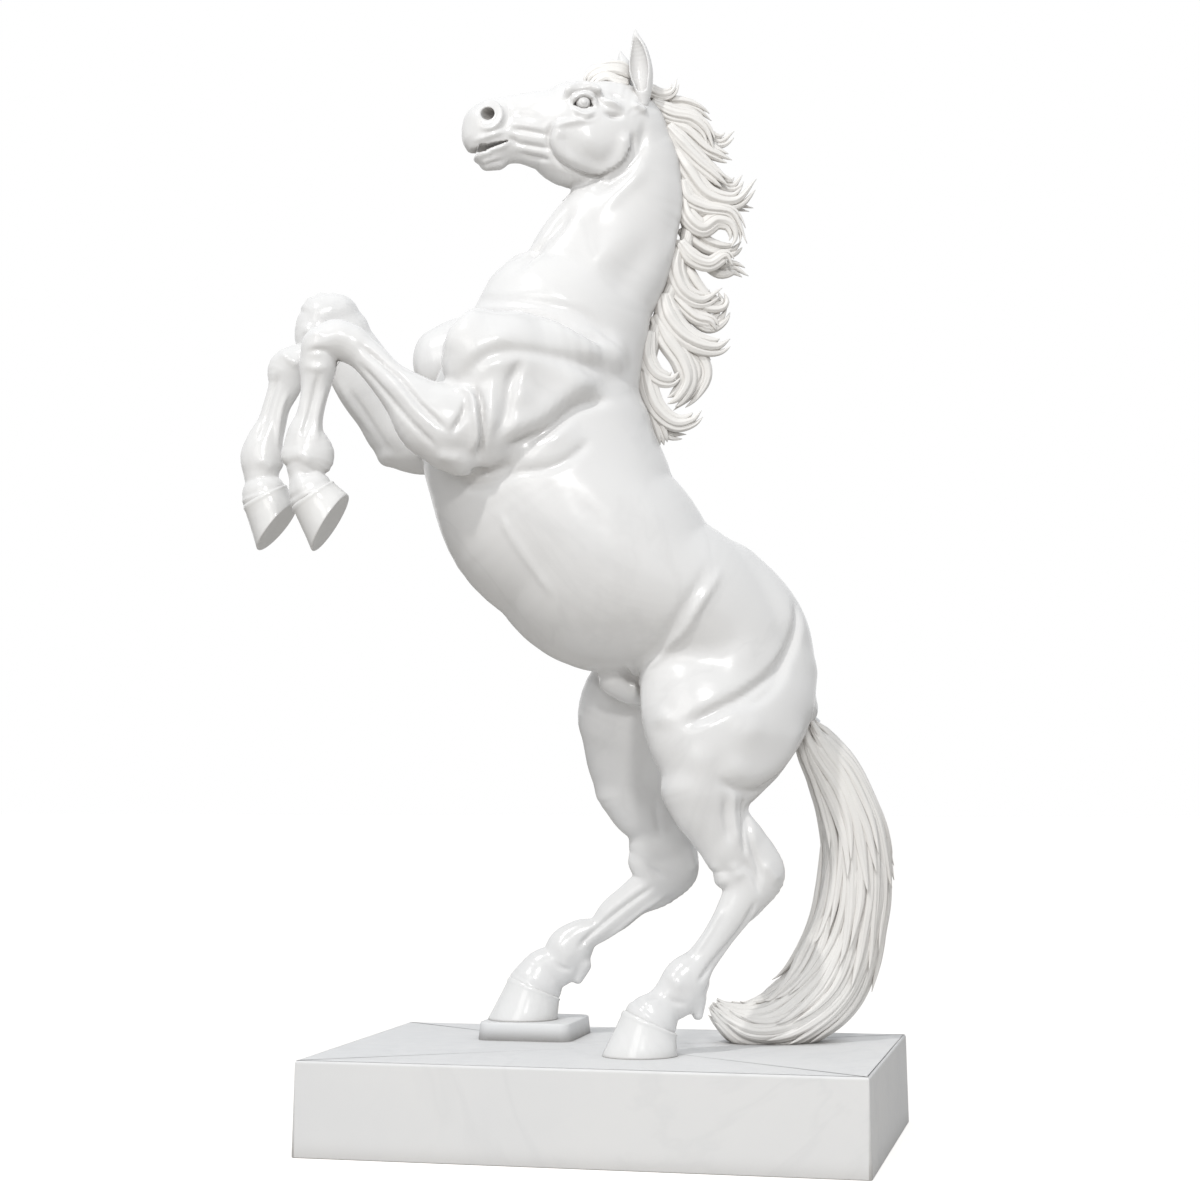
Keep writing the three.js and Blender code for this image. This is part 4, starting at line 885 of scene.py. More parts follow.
BODY_STEPS = {
    "edge of the shoulder": (12, 14, [(-50, 1905), (-140, 1950), (-230, 1990), (-325, 2008), (-400, 2005),
                                      (-465, 1980), (-505, 1925), (-515, 1855)]),
    "edge of the triceps": (12, 14, [(-370, 1620), (-310, 1650), (-245, 1680), (-155, 1755), (-45, 1790)]),
    "edge of the leaf muscle": (6, 12, [(-330, 1570), (-280, 1572), (-218, 1585), (-160, 1622),
                                        (-115, 1670)]),
    "edge under the arm": (9, 11, [(-450, 1565), (-390, 1570), (-360, 1580), (-310, 1600)]),
    "edge of the thigh": (8, 14, [(205, 752), (275, 722), (335, 712), (430, 770), (495, 890)]),
}
NECK_RELIEF = {
    "jugular groove": (-12, 18, [(-125, 2360), (-170, 2295), (-235, 2215), (-290, 2145), (-345, 2075),
                                 (-395, 2010)]),
    "windpipe": (6, 14, [(-175, 2295), (-230, 2240), (-290, 2190), (-340, 2130), (-375, 2070)]),
    "groove behind the jaw": (-9, 16, [(55, 2615), (60, 2560), (50, 2505), (15, 2450), (-35, 2410),
                                       (-85, 2370)]),
    "strap of the neck": (7, 24, [(80, 2510), (50, 2440), (0, 2390), (-45, 2345), (-85, 2285)]),
    "hollow of the neck": (-7, 40, [(120, 2325), (85, 2250), (30, 2165), (-30, 2090), (-80, 2030)]),
    "lower swell": (6, 40, [(50, 2330), (-10, 2250), (-80, 2170), (-155, 2100)]),
    "crest": (5, 20, [(160, 2465), (175, 2380), (160, 2285), (125, 2175)]),
}
HEAD_RELIEF = {
    "upper lid": (10, 6, [(-148, 2618), (-138, 2640), (-112, 2653), (-86, 2643), (-74, 2611)]),
    "lower lid": (7, 6, [(-148, 2618), (-130, 2598), (-105, 2592), (-74, 2609)]),
    "fold over the lid": (-6, 5, [(-160, 2623), (-149, 2651), (-112, 2665), (-75, 2652), (-61, 2617)]),
    "brow": (12, 8, [(-172, 2630), (-156, 2662), (-113, 2682), (-72, 2666), (-47, 2637)]),
    "fold under the eye": (-4, 5, [(-150, 2590), (-110, 2577), (-70, 2590)]),
    "temple ridge": (14, 10, [(-75, 2645), (-38, 2631), (-12, 2621), (12, 2615)]),
    "groove under the temple": (-13, 8, [(-65, 2602), (-30, 2594), (10, 2596)]),
    "groove over the temple": (-5, 8, [(-55, 2670), (-19, 2655), (18, 2642)]),
    "base of the ear": (11, 10, [(39, 2630), (60, 2621)]),
    "facial crest": (7, 10, [(-222, 2550), (-174, 2564), (-124, 2575), (-64, 2592)]),
    "rim of the nostril": (8, 8, [(-398, 2628), (-371, 2634), (-349, 2620), (-341, 2592), (-356, 2564),
                                  (-381, 2553),
                                  (-403, 2566)]),
    "groove round the nostril": (-5, 9, [(-328, 2645), (-321, 2605), (-327, 2569), (-352, 2543)]),
    "upper fold": (-7, 8, [(-322, 2558), (-266, 2550), (-203, 2532)]),
    "middle fold": (-7, 8, [(-315, 2520), (-253, 2510), (-196, 2495)]),
    "lower fold": (-7, 8, [(-303, 2493), (-245, 2482), (-191, 2468)]),
    "cheek": (5, 38, [(-95, 2507), (-66, 2495)]),
    "nasal bone": (4, 14, [(-295, 2628), (-218, 2646), (-160, 2655)]),
    "hollow of the nose": (-5, 16, [(-344, 2585), (-288, 2593), (-218, 2584)]),
    "upper lip": (5, 8, [(-425, 2518), (-395, 2526), (-361, 2538), (-320, 2553)]),
    "lower lip": (5, 8, [(-415, 2478), (-382, 2489), (-343, 2504), (-307, 2522)]),
    "corner of the mouth": (-6, 7, [(-325, 2531), (-304, 2526), (-290, 2509)]),
    "groove of the chin": (-7, 7, [(-408, 2461), (-364, 2462), (-316, 2481)]),
}
HEAD_STEPS = {
    "edge of the cheek": (9, 8, [(-185, 2580), (-206, 2522), (-187, 2480), (-140, 2450), (-68, 2438),
                                 (-10, 2460),
                                 (20, 2512), (24, 2560)]),
}
LEFT_RELIEF = {
    "upper knee bone": (5, 11, [(-880, 1918), (-855, 1925), (-825, 1927)]),
    "knee groove": (-5, 8, [(-885, 1876), (-850, 1880), (-810, 1878)]),
    "lower knee bone": (5, 12, [(-890, 1845), (-855, 1832), (-815, 1840)]),
    "groove of the cannon": (-7, 8, [(-847, 1825), (-859, 1761), (-874, 1698), (-892, 1635)]),
    "cannon bone": (4, 11, [(-881, 1810), (-888, 1754), (-903, 1692)]),
    "tendon": (5, 10, [(-825, 1800), (-842, 1736), (-852, 1672), (-847, 1620)]),
    "fetlock": (6, 19, [(-894, 1597), (-878, 1586)]),
    "groove of the pastern": (-5, 8, [(-905, 1557), (-878, 1546), (-845, 1554)]),
    "coronet": (4, 16, [(-894, 1529), (-886, 1496)]),
    "front of the gaskin": (7, 11, [(266, 728), (269, 663), (275, 596), (279, 535)]),
    "muscle of the gaskin": (-9, 8, [(292, 720), (301, 650), (299, 575), (305, 518)]),
    "hollow before the hock": (-9, 10, [(310, 680), (317, 575), (339, 500), (348, 442)]),
    "inner muscle": (-5, 10, [(240, 706), (249, 623), (261, 552)]),
    "hock bone": (7, 16, [(276, 494), (284, 478)]),
    "heel tendon": (-7, 9, [(295, 524), (330, 468), (345, 416)]),
    "front of the hock": (5, 16, [(228, 494), (244, 462)]),
    "point of the hock": (6, 15, [(367, 494), (388, 467)]),
    "groove of the shank": (-7, 8, [(336, 411), (291, 328), (220, 250), (164, 187)]),
    "second groove": (-6, 7, [(360, 394), (299, 306), (232, 227), (184, 157)]),
    "shank bone": (6, 9, [(252, 400), (208, 324), (154, 255)]),
    "hind fetlock": (6, 19, [(100, 205), (114, 190)]),
    "hind pastern groove": (-5, 9, [(75, 162), (108, 143), (150, 137)]),
    "hind coronet": (4, 14, [(27, 140), (54, 144)]),
}
ELBOW_RELIEF = {
    "rim": (12, 11, [(-505, 1780), (-450, 1762), (-436, 1695), (-431, 1635), (-446, 1590)]),
    "groove behind the rim": (-14, 9, [(-440, 1785), (-419, 1740), (-414, 1685), (-415, 1630), (-425, 1578)]),
    "upper groove": (-12, 9, [(-745, 1900), (-650, 1820), (-580, 1725), (-505, 1650)]),
    "hind groove": (-12, 9, [(-452, 1755), (-470, 1695), (-503, 1640)]),
    "lower groove": (-6, 9, [(-745, 1850), (-660, 1750), (-580, 1655), (-530, 1608)]),
    "muscle between them": (5, 18, [(-690, 1830), (-600, 1730), (-545, 1660)]),
    "elbow": (9, 18, [(-512, 1590), (-490, 1586)]),
}
RIGHT_RELIEF = {
    "front of the knee": (-5, 11, [(-922, 2066), (-891, 2061), (-855, 2035)]),
    "knee bone": (6, 14, [(-870, 2000), (-835, 1985)]),
    "lower knee bone": (6, 14, [(-935, 1925), (-905, 1905)]),
    "groove of the cannon": (-6, 8, [(-949, 1880), (-967, 1814), (-986, 1741), (-1006, 1675)]),
    "tendon": (5, 8, [(-918, 1835), (-940, 1771), (-950, 1705), (-948, 1650)]),
    "muscle of the forearm": (-6, 12, [(-760, 1850), (-690, 1745), (-610, 1645)]),
    "ridge of the forearm": (5, 14, [(-790, 1880), (-730, 1780), (-660, 1690)]),
    "fore fetlock": (5, 16, [(-990, 1620), (-975, 1610)]),
    "groove of the shank": (-7, 8, [(137, 432), (38, 360), (-48, 289), (-90, 246)]),
    "shank bone": (5, 8, [(176, 409), (97, 353), (19, 290), (-41, 233)]),
    "hock hollow": (-6, 10, [(98, 498), (136, 468), (174, 444)]),
    "heel tendon": (6, 15, [(239, 530), (252, 484)]),
    "muscle of the gaskin": (-6, 12, [(120, 690), (140, 610), (150, 550)]),
    "hind fetlock": (5, 19, [(-135, 259), (-118, 231)]),
    "hind pastern groove": (-5, 8, [(-159, 220), (-129, 197), (-86, 190)]),
}
SHEATH_RELIEF = {
    "fold of the sheath": (11, 9, [(0, 1055), (35, 1030), (42, 990), (45, 955)]),
    "hollow of the sheath": (-9, 12, [(5, 1015), (50, 1000), (70, 965)]),
}


# Points tried along a level line to find the skin.
LEVEL_STEPS = 90


def skin_y(x, z, start, end, parts):
    """Where a level line at x, z first meets the flesh on its way from start to end."""
    line = np.linspace(start, end, LEVEL_STEPS)
    gaps = form(np.array([(x, y, z) for y in line]), parts)
    inside = np.nonzero(gaps < 0)[0]
    if not len(inside) or inside[0] == 0:
        return line[np.argmin(gaps)]
    k = inside[0]
    return line[k - 1] + (line[k] - line[k - 1]) * gaps[k - 1] / (gaps[k - 1] - gaps[k])


def laid(strokes, parts, runs, step=False):
    """The strokes, laid on the skin that each of the runs, from start to end in y, meets first."""
    return [Stroke(np.array([(x, skin_y(x, z, start, end, parts), z) for x, z in course]), proud, half, step)
            for proud, half, course in strokes.values() for start, end in runs]


WIDEST = 345
both_sides = ((-WIDEST, 0), (WIDEST, 0))
relief = []
for strokes, parts, runs in ((BODY_RELIEF, bulk, both_sides), (NECK_RELIEF, [neck], both_sides),
                             (ELBOW_RELIEF, bulk + limbs, both_sides[:1]),
                             (HEAD_RELIEF, face, both_sides), (SHEATH_RELIEF, [trunk, sheath], both_sides),
                             (LEFT_RELIEF, limbs, ((-WIDEST, 0), (0, -WIDEST))),
                             (RIGHT_RELIEF, limbs, ((WIDEST, 0), (0, WIDEST)))):
    relief += laid(strokes, parts, runs)
for strokes, parts in ((BODY_STEPS, bulk), (HEAD_STEPS, face)):
    relief += laid(strokes, parts, both_sides, step=True)


def end_seams(rows):
    """The seams at the first and the last row of an outline."""
    return seam_at(rows, 0), seam_at(rows, len(rows) - 1)


neck_seam, head_seam = end_seams(NECK)
elbows = [seam_at(leg["forearm"], 1) for leg in (LEFT, RIGHT)]
stifles = [seam_at(leg["gaskin"], 0) for leg in (LEFT, RIGHT)]
body_marble = marble("polished body marble", colour=(0.77, 0.77, 0.77), vein=(0.6, 0.6, 0.6),
                     vein_strength=0.16, clouds=0.25, polish=0.22, bump=0.02, coat=0.1)
TORSO_BOX = ((-680, -WIDEST, 640), (645, WIDEST, 2200))
fit(carve("torso_block", flesh, TORSO_BOX, cell=8, seed=(300, 0, 1400), seams=[neck_seam, *elbows, *stifles],
          material=body_marble, strokes=relief), "torso")

# Legs: forearm and gaskin blocks, and below them the cannon blocks down to the pasterns.
# They are carved from the same polished marble and doweled to the torso and to each other.
LEG_MARGIN = (70, 125, 50)
for leg, elbow, stifle in zip((LEFT, RIGHT), elbows, stifles):
    knee, fore_coronet = end_seams(leg["cannon"])
    hock, hind_coronet = end_seams(leg["shank"])
    for kind, limb, seams, cell in (("forearm", "forearm", (elbow, knee), 5),
                                    ("fore_cannon", "cannon", (knee, fore_coronet), 4),
                                    ("gaskin", "gaskin", (stifle, hock), 5),
                                    ("hind_cannon", "shank", (hock, hind_coronet), 4)):
        rows = np.asarray(leg[limb], float)
        reach = [rows[:, columns] for columns in ([0, 2], [4], [1, 3])]
        box = ([part.min() for part in reach] - np.array(LEG_MARGIN),
               [part.max() for part in reach] + np.array(LEG_MARGIN))
        middle = rows[len(rows) // 2]
        name = f"{leg['name']}_{kind}"
        seed = middle_of(middle) - SIDEWAYS * middle[5]
        fit(carve(f"{name}_block", flesh, box, cell, seed, seams, body_marble, relief), name)

# Hooves: short cones of plain polished marble with a raised rim at the coronet.
# Each is doweled under its pastern; the hind pair stands on the anchor rods.
hoof_marble = marble("polished hoof marble", colour=(0.79, 0.79, 0.785), vein=(0.6, 0.6, 0.6),
                     vein_strength=0.1, clouds=0.4, polish=0.18, bump=0.03, coat=0.25)
HOOF_CORNERS = 56
# How far down the hoof each level lies, and how much it swells there.
HOOF_LEVELS = [(0, 0.985), (0.03, 1.0), (0.07, 1.02), (0.11, 1.0), (0.16, 0.985), (0.4, 0.985), (0.7, 0.99),
               (0.94, 1.0), (0.985, 0.99), (1, 0.97)]
# Half the width of a fore and a hind hoof at the coronet and at the sole.
FORE_HALVES, HIND_HALVES = (62, 80), (64, 88)
# The lifted fore hooves are rolled a little sideways by this much at the sole.
HOOF_ROLL = 16


def circle(corners):
    """The angles of points evenly round a circle."""
    return np.arange(corners) / corners * 2 * math.pi


def hoof(name, pastern, sole, halves, roll):
    """A hoof from the last outline row of its pastern down to its sole."""
    coronet, sole = np.array(pastern[:4], float), np.array(sole, float)
    underside = unit([sole[3] - sole[1], 0, sole[0] - sole[2]])
    angles = circle(HOOF_CORNERS)
    rings = []
    for share, swell in HOOF_LEVELS:
        row = coronet + (sole - coronet) * share
        half = (halves[0] + (halves[1] - halves[0]) * share) * swell
        spread = np.array([row[2] - row[0], 0, row[3] - row[1]]) / 2 * swell
        centre = middle_of([*row, pastern[4]])
        rings.append(centre + np.cos(angles)[:, None] * spread - (half * np.sin(angles))[:, None] * SIDEWAYS
                     - (roll * share * share * np.sin(angles))[:, None] * underside)
    points, faces = skin_rings(rings)
    return new_object(name, on_plinth(points), faces, hoof_marble)


for leg in (LEFT, RIGHT):
    for kind, limb, halves, roll in (("fore_hoof", "cannon", FORE_HALVES, HOOF_ROLL),
                                     ("hind_hoof", "shank", HIND_HALVES, 0)):
        name = f"{leg['name']}_{kind}"
        fit(hoof(f"{name}_block", leg[limb][-1], leg[kind], halves, roll), name)

# Neck: one arched block of the body's marble between the withers and the poll.
# Three rods hold it: one on each side to the torso, and one up into the head.
NECK_BOX = ((-560, -WIDEST, 1930), (230, WIDEST, 2740))
fit(carve("neck_block", flesh, NECK_BOX, cell=6, seed=(130, 0, 2400), seams=[neck_seam, head_seam],
          material=body_marble, strokes=relief), "neck")

# Head: the most finely carved block, with cheeks, brows, nostrils, parted lips and sockets for the eyes.
# It is cut from the body's marble and set on the rod in the top of the neck.
HEAD_BOX = ((-450, -150, 2370), (120, 150, 2790))
EYE_X, EYE_Z = -113, 2630
EYE_RADIUS, EYE_SET_BACK = 21, 11
SOCKET_RADIUS = 22.5
# Hollows as x, y, z, half depth and half width, on the horse's right. Socket and lids start from the eye.
SOCKET = [(-2, 0, 0, SOCKET_RADIUS, SOCKET_RADIUS), (2, 0, 0, SOCKET_RADIUS, SOCKET_RADIUS)]
LID_CORNERS = [(-27, 8, -8, 3, 5), (-14, 7, -3, 9, 9), (14, 7, -5, 9, 9), (27, 8, -13, 3, 5)]
NOSTRIL = [(-386, 76, 2596, 20, 20), (-378, 52, 2598, 18, 18), (-362, 26, 2602, 14, 14),
           (-320, 22, 2606, 11, 11)]
MOUTH = [(-470, 0, 2488, 12, 120), (-413, 0, 2495, 10, 120), (-394, 0, 2500, 9, 110), (-372, 0, 2507, 8, 95),
         (-347, 0, 2515, 6, 80), (-322, 0, 2523, 2, 70)]
SOCKET_BLEND, NOSTRIL_BLEND, MOUTH_BLEND = 2, 5, 4
eyes = {}
hollows = []
for side in (-1, 1):
    eyes[side] = np.array([EYE_X, skin_y(EYE_X, EYE_Z, side * WIDEST, 0, face) - side * EYE_SET_BACK, EYE_Z])
    for rows, place, blend in ((SOCKET, eyes[side], SOCKET_BLEND), (LID_CORNERS, eyes[side], SOCKET_BLEND),
                               (NOSTRIL, np.zeros(3), NOSTRIL_BLEND)):
        placed_rows = [[*(place + (x, side * y, z)), deep, half] for x, y, z, deep, half in rows]
        hollows.append(Flesh(placed_rows, blend, hollow=True))
hollows.append(Flesh(MOUTH, MOUTH_BLEND, hollow=True))
fit(carve("head_block", flesh + hollows, HEAD_BOX, cell=3, seed=(-250, 40, 2600), seams=[head_seam],
          material=body_marble, strokes=relief), "head")

# Eyes: polished balls of the body's marble let into the sockets under the brows.
# Each has a shallow ring cut round its pupil.
PUPIL_TURN, PUPIL_CUT, PUPIL_CUT_WIDTH = 0.5, 1.2, 0.07
EYE_RINGS, EYE_CORNERS, POLE_GAP = 49, 40, 0.02
for leg in (LEFT, RIGHT):
    side, angles = leg["side"], circle(EYE_CORNERS)
    rings = []
    for turn in np.linspace(POLE_GAP, math.pi - POLE_GAP, EYE_RINGS):
        radius = EYE_RADIUS - PUPIL_CUT * math.exp(-((turn - PUPIL_TURN) / PUPIL_CUT_WIDTH) ** 2)
        rings.append(eyes[side] + radius * np.stack([
            math.sin(turn) * np.cos(angles), side * np.full(EYE_CORNERS, math.cos(turn)),
            -side * math.sin(turn) * np.sin(angles)], 1))
    points, faces = skin_rings(rings)
    name = f"{leg['name']}_eye"
    fit(new_object(f"{name}_ball", on_plinth(points), faces, body_marble), name)

# Ears: cupped shells of the body's marble, let into sockets in the poll and pinned.
# The cup is hollowed out of the ear's own outline, a little forward and outward.
CUP_SHIFT = np.array([-8, 14, 0])
CUP_SHARES = ((0.55, 0.8), (0.76, 0.9), (0.74, 0.9), (0.4, 0.6))
EAR_BLEND, EAR_MARGIN = 4, 45
for leg in (LEFT, RIGHT):
    rows = np.array(leg["ear"], float)[:, [0, 2, 1, 3, 4]]
    cup_rows = rows[1:5].copy()
    cup_rows[:, :3] += CUP_SHIFT * (1, leg["side"], 1)
    cup_rows[:, 3:] *= CUP_SHARES
    box = rows[:, :3].min(0) - EAR_MARGIN, rows[:, :3].max(0) + EAR_MARGIN
    shell = [Flesh(rows, EAR_BLEND), Flesh(cup_rows, EAR_BLEND, hollow=True)]
    name = f"{leg['name']}_ear"
    fit(carve(f"{name}_shell", shell, box, cell=2, seed=rows[0, :3], seams=[], material=body_marble),
        name)

# Mane and forelock: thick locks of hair in four blocks down the crest, and a tuft between the ears.
# Each lock is drawn as three strands that part towards their tips, with finer hairs cut in as long grooves.
hair_marble = marble("honed hair marble", colour=(0.84, 0.825, 0.8), vein=(0.68, 0.65, 0.61),
                     vein_strength=0.05, clouds=0.4, polish=0.4, bump=0.03)
LEAST_HALF = 0.8
HAIR_TWIST = 0.9
# The strands of a lock, as how far to its side each starts, how far it sinks in and how far it reaches.
STRANDS = ((0, 0, 1), (-0.62, 0.3, 0.9), (0.62, 0.3, 0.94))
STRAND_SHARE, TIP_PARTING = 0.66, 0.9


def across_and_up(line):
    """For each point of a line, the level way across it and the way up from it."""
    course = unit(np.gradient(line, axis=0))
    across = unit(SIDEWAYS - course * course[:, 1:2])
    return across, np.cross(across, course)


def groomed(line, half, thick, turn, sides, hairs, cut):
    """A skin round a smooth line with one half width for each of its points, grooved along by its hairs."""
    across, up = across_and_up(line)
    angles = circle(sides)
    rings = []
    for i, spot in enumerate(line):
        twist = angles + turn + i / (len(line) - 1) * HAIR_TWIST
        groove = (np.abs(np.cos(twist * hairs / 2)) + 0.5 * np.abs(np.cos(twist * 2 + turn)) - 0.9) * cut
        rings.append(spot + (half[i] * (1 + groove) * np.cos(angles))[:, None] * up[i]
                     + (thick * half[i] * (1 + groove) * np.sin(angles))[:, None] * across[i])
    return skin_rings(rings)


def taper(share):
    """The width of a strand along its course: narrow at the root, full, and fine at the tip."""
    return np.minimum(1, 0.6 + 2 * share) * (1 - share ** 2.6) ** 0.8


def lock(course, y, width, turn):
    """Three tapered strands along a course in x, z that starts on the crest."""
    line = through([(x, y, z) for x, z in course], 7)
    share = np.linspace(0, 1, len(line))
    up = across_and_up(line)[1]
    full = width * taper(share)
    skins = []
    for strand, (offset, sink, reach) in enumerate(STRANDS):
        kept = round(len(line) * reach)
        parting = offset * (full + width * TIP_PARTING * share ** 3)
        inward = -np.sign(y or 1) * sink * full
        strand_line = (line + up * parting[:, None] + SIDEWAYS * inward[:, None])[:kept]
        half = width * STRAND_SHARE * taper(np.minimum(share[:kept] / reach, 1))
        skins.append(groomed(strand_line, np.maximum(half, LEAST_HALF), 0.9, turn + strand, sides=28, hairs=7,
                             cut=0.17))
    return skins


def locks(rows, turn):
    """The skins of all the locks in a row, each turned a little further than the last."""
    return [skin for i, (y, width, course) in enumerate(rows) for skin in lock(course, y, width, turn * i)]


def bundle(name, skins):
    """One piece of hair from many skins."""
    points, faces, base = [], [], 0
    for spots, quads in skins:
        points.append(spots)
        faces += [tuple(index + base for index in face) for face in quads]
        base += len(spots)
    return new_object(name, on_plinth(np.vstack(points)), faces, hair_marble)


# The crest that the hair grows from, in x, z, and for each block the locks as y, width and course.
CREST = [(84, 2700), (112, 2655), (135, 2618), (153, 2575), (166, 2540), (176, 2500), (184, 2450),
         (190, 2400),
         (191, 2350), (186, 2300), (177, 2250), (163, 2200), (145, 2150), (124, 2100), (104, 2050),
             (88, 2000),
         (76, 1950), (66, 1888)]
CREST_WIDTH = 20
MANE = [
    ((0, 5), [
        (-14, 16, [(80, 2715), (106, 2695), (133, 2690), (156, 2700), (171, 2737)]),
        (10, 19, [(90, 2695), (150, 2672), (200, 2668), (243, 2652), (276, 2626)]),
        (-16, 22, [(95, 2665), (155, 2636), (214, 2624), (255, 2591), (278, 2533)]),
        (12, 23, [(115, 2650), (196, 2620), (249, 2585), (301, 2567), (344, 2600)]),
        (-8, 22, [(130, 2620), (204, 2588), (257, 2542), (298, 2522), (332, 2508)]),
        (-22, 25, [(140, 2595), (185, 2545), (236, 2495), (285, 2455), (318, 2428)]),
    ]),
    ((4, 9), [
        (8, 24, [(155, 2575), (222, 2518), (285, 2455), (335, 2437), (366, 2470)]),
        (-16, 29, [(165, 2535), (205, 2470), (260, 2402), (339, 2388), (402, 2454)]),
        (18, 22, [(172, 2510), (270, 2425), (331, 2392), (400, 2377)]),
        (-8, 24, [(178, 2480), (200, 2405), (240, 2350), (280, 2348), (304, 2376)]),
        (-22, 20, [(184, 2440), (200, 2390), (250, 2365), (330, 2350), (372, 2262)]),
    ]),
    ((8, 13), [
        (-18, 24, [(188, 2405), (202, 2340), (243, 2306), (285, 2330), (325, 2320), (340, 2284),
                   (326, 2249)]),
        (8, 22, [(190, 2350), (235, 2275), (290, 2248), (334, 2249), (362, 2275)]),
        (18, 23, [(188, 2310), (254, 2230), (301, 2192), (342, 2199), (385, 2177)]),
        (-12, 27, [(180, 2265), (165, 2190), (190, 2122), (242, 2097), (301, 2133)]),
        (6, 24, [(172, 2235), (215, 2140), (265, 2090), (302, 2095), (293, 2126)]),
        (-24, 20, [(176, 2260), (215, 2215), (262, 2200), (310, 2225), (330, 2195)]),
    ]),
    ((12, 17), [
        (14, 24, [(165, 2150), (215, 2075), (264, 2032), (300, 2048), (321, 2085)]),
        (-4, 20, [(150, 2120), (225, 2050), (270, 2035), (285, 2012)]),
        (-14, 30, [(130, 2110), (145, 2050), (180, 2002), (235, 1970), (287, 1964), (323, 1986)]),
        (12, 23, [(120, 2080), (200, 1975), (243, 1932), (270, 1910)]),
        (-8, 28, [(108, 2050), (145, 1980), (186, 1918), (199, 1862), (168, 1810), (142, 1794)]),
        (14, 25, [(115, 2050), (225, 1940), (246, 1885), (217, 1828), (163, 1780)]),
        (-20, 24, [(88, 2000), (78, 1930), (107, 1875), (147, 1863), (174, 1886)]),
        (-14, 24, [(72, 1920), (86, 1840), (115, 1775), (165, 1740), (212, 1750), (239, 1777)]),
        (10, 22, [(72, 1900), (88, 1810), (110, 1742), (155, 1713), (199, 1711)]),
        (0, 18, [(75, 1860), (108, 1755), (127, 1700), (133, 1677)]),
    ]),
]
for number, ((first, last), block_locks) in enumerate(MANE, 1):
    roots = through([(x + CREST_WIDTH, 0, z) for x, z in CREST[first:last + 1]], 8)
    skins = [groomed(roots, np.full(len(roots), CREST_WIDTH), 0.8, number, sides=40, hairs=24, cut=0.16)]
    fit(bundle(f"mane_locks_{number}", skins + locks(block_locks, 1.7)), f"mane_{number}")

FORELOCK = [
    (-34, 18, [(26, 2708), (-4, 2710), (-39, 2722), (-70, 2704), (-74, 2676)]),
    (-22, 19, [(34, 2730), (-2, 2746), (-49, 2744), (-83, 2724), (-90, 2694)]),
    (-6, 17, [(42, 2747), (6, 2765), (-40, 2762), (-75, 2744), (-88, 2716)]),
    (10, 18, [(44, 2750), (9, 2764), (-32, 2758), (-61, 2740), (-78, 2715)]),
    (26, 18, [(41, 2744), (6, 2752), (-35, 2745), (-58, 2727), (-70, 2703)]),
    (-30, 14, [(32, 2698), (2, 2692), (-21, 2700), (-48, 2695)]),
]
fit(bundle("forelock_tuft", locks(FORELOCK, 1.3)), "forelock")

# Tail: two blocks of the hair's marble that leave the dock and rest on the plinth, held by three dowels.
# They are covered in long wavy locks that overlap in laps, each lap under the one above it.
TAIL_JOINT = 8
TAIL_COLUMNS = 8
TAIL_END = 14.95
TAIL_LAPS = ((0.3, 5.6), (2.4, 8.4), (4.8, 11.2), (7.4, 13.6), (9.6, 14.9))
TAIL_CORE_DEPTH = 17
# How far the tail's lowest hairs stay above the plinth, in metres.
TAIL_REST = 0.0004
tail_rows = np.asarray(TAIL, float)
tail_line = through(np.column_stack([
    [middle_of(row) for row in tail_rows],
    np.hypot(tail_rows[:, 2] - tail_rows[:, 0], tail_rows[:, 3] - tail_rows[:, 1]) / 2, tail_rows[:, 5]]), 10)
tail_up = across_and_up(tail_line[:, :3])[1]


def tail_spot(along, across, side, inset):
    """A point of the tail: along counts its outline rows, across runs from its front (-1) to its back (1)."""
    share = np.clip(along / (len(tail_rows) - 1), 0, 1) * (len(tail_line) - 1)
    row = [np.interp(share, np.arange(len(tail_line)), tail_line[:, k]) for k in range(5)]
    up = np.array([np.interp(share, np.arange(len(tail_line)), tail_up[:, k]) for k in range(3)])
    spot = np.array(row[:3]) - up * across * (row[3] - inset)
    spot[1] += side * max(row[4] - inset, 0) * math.sqrt(max(1 - across * across, 0.0))
    return spot


def tail_lock(start, end, leave, arrive, side, width, turn):
    """A lock along the tail between two of its rows, which moves across it and lifts off at its tip."""
    spots, halves = [], []
    for t in np.linspace(0, 1, 44):
        half = width * min(1, 3.2 * t + 0.3) * (1 - t ** 5) ** 0.9
        wave = 0.05 * math.sin(7 * t + turn)
        spots.append(tail_spot(start + (end - start) * t, leave + (arrive - leave) * t ** 1.3 + wave, side,
                               0.8 * half + 7 * (1 - t) + 100 * max(0.12 - t, 0) - 7 * t ** 8))
        halves.append(max(half, LEAST_HALF))
    return groomed(np.array(spots), halves, 0.75, turn, 30, 9, 0.2)


core_half = np.maximum(tail_line[::2, 3] - TAIL_CORE_DEPTH, 3)
tail_skins = [groomed(tail_line[::2, :3], core_half, 0.78, 0, sides=120, hairs=40, cut=0.07)]
turn = 0.0
for side in (-1, 1):
    for lap, (start, end) in reversed(list(enumerate(TAIL_LAPS))):
        for column in range(TAIL_COLUMNS):
            shift = ((column * 5 + lap * 3 + (side > 0) * 2) % 8) / 8
            leave = -0.93 + 1.86 * (column + 0.5 * (lap % 2)) / (TAIL_COLUMNS - 0.5)
            arrive = min(max(leave + 0.12 * (2 - lap) + 0.25 * (shift - 0.5), -0.97), 0.97)
            turn += 1.9
            tail_skins.append(tail_lock(start + 1.2 * shift, min(end + 1.5 * shift, TAIL_END), leave,
                                        arrive, side, 13 + 10 * shift, turn))


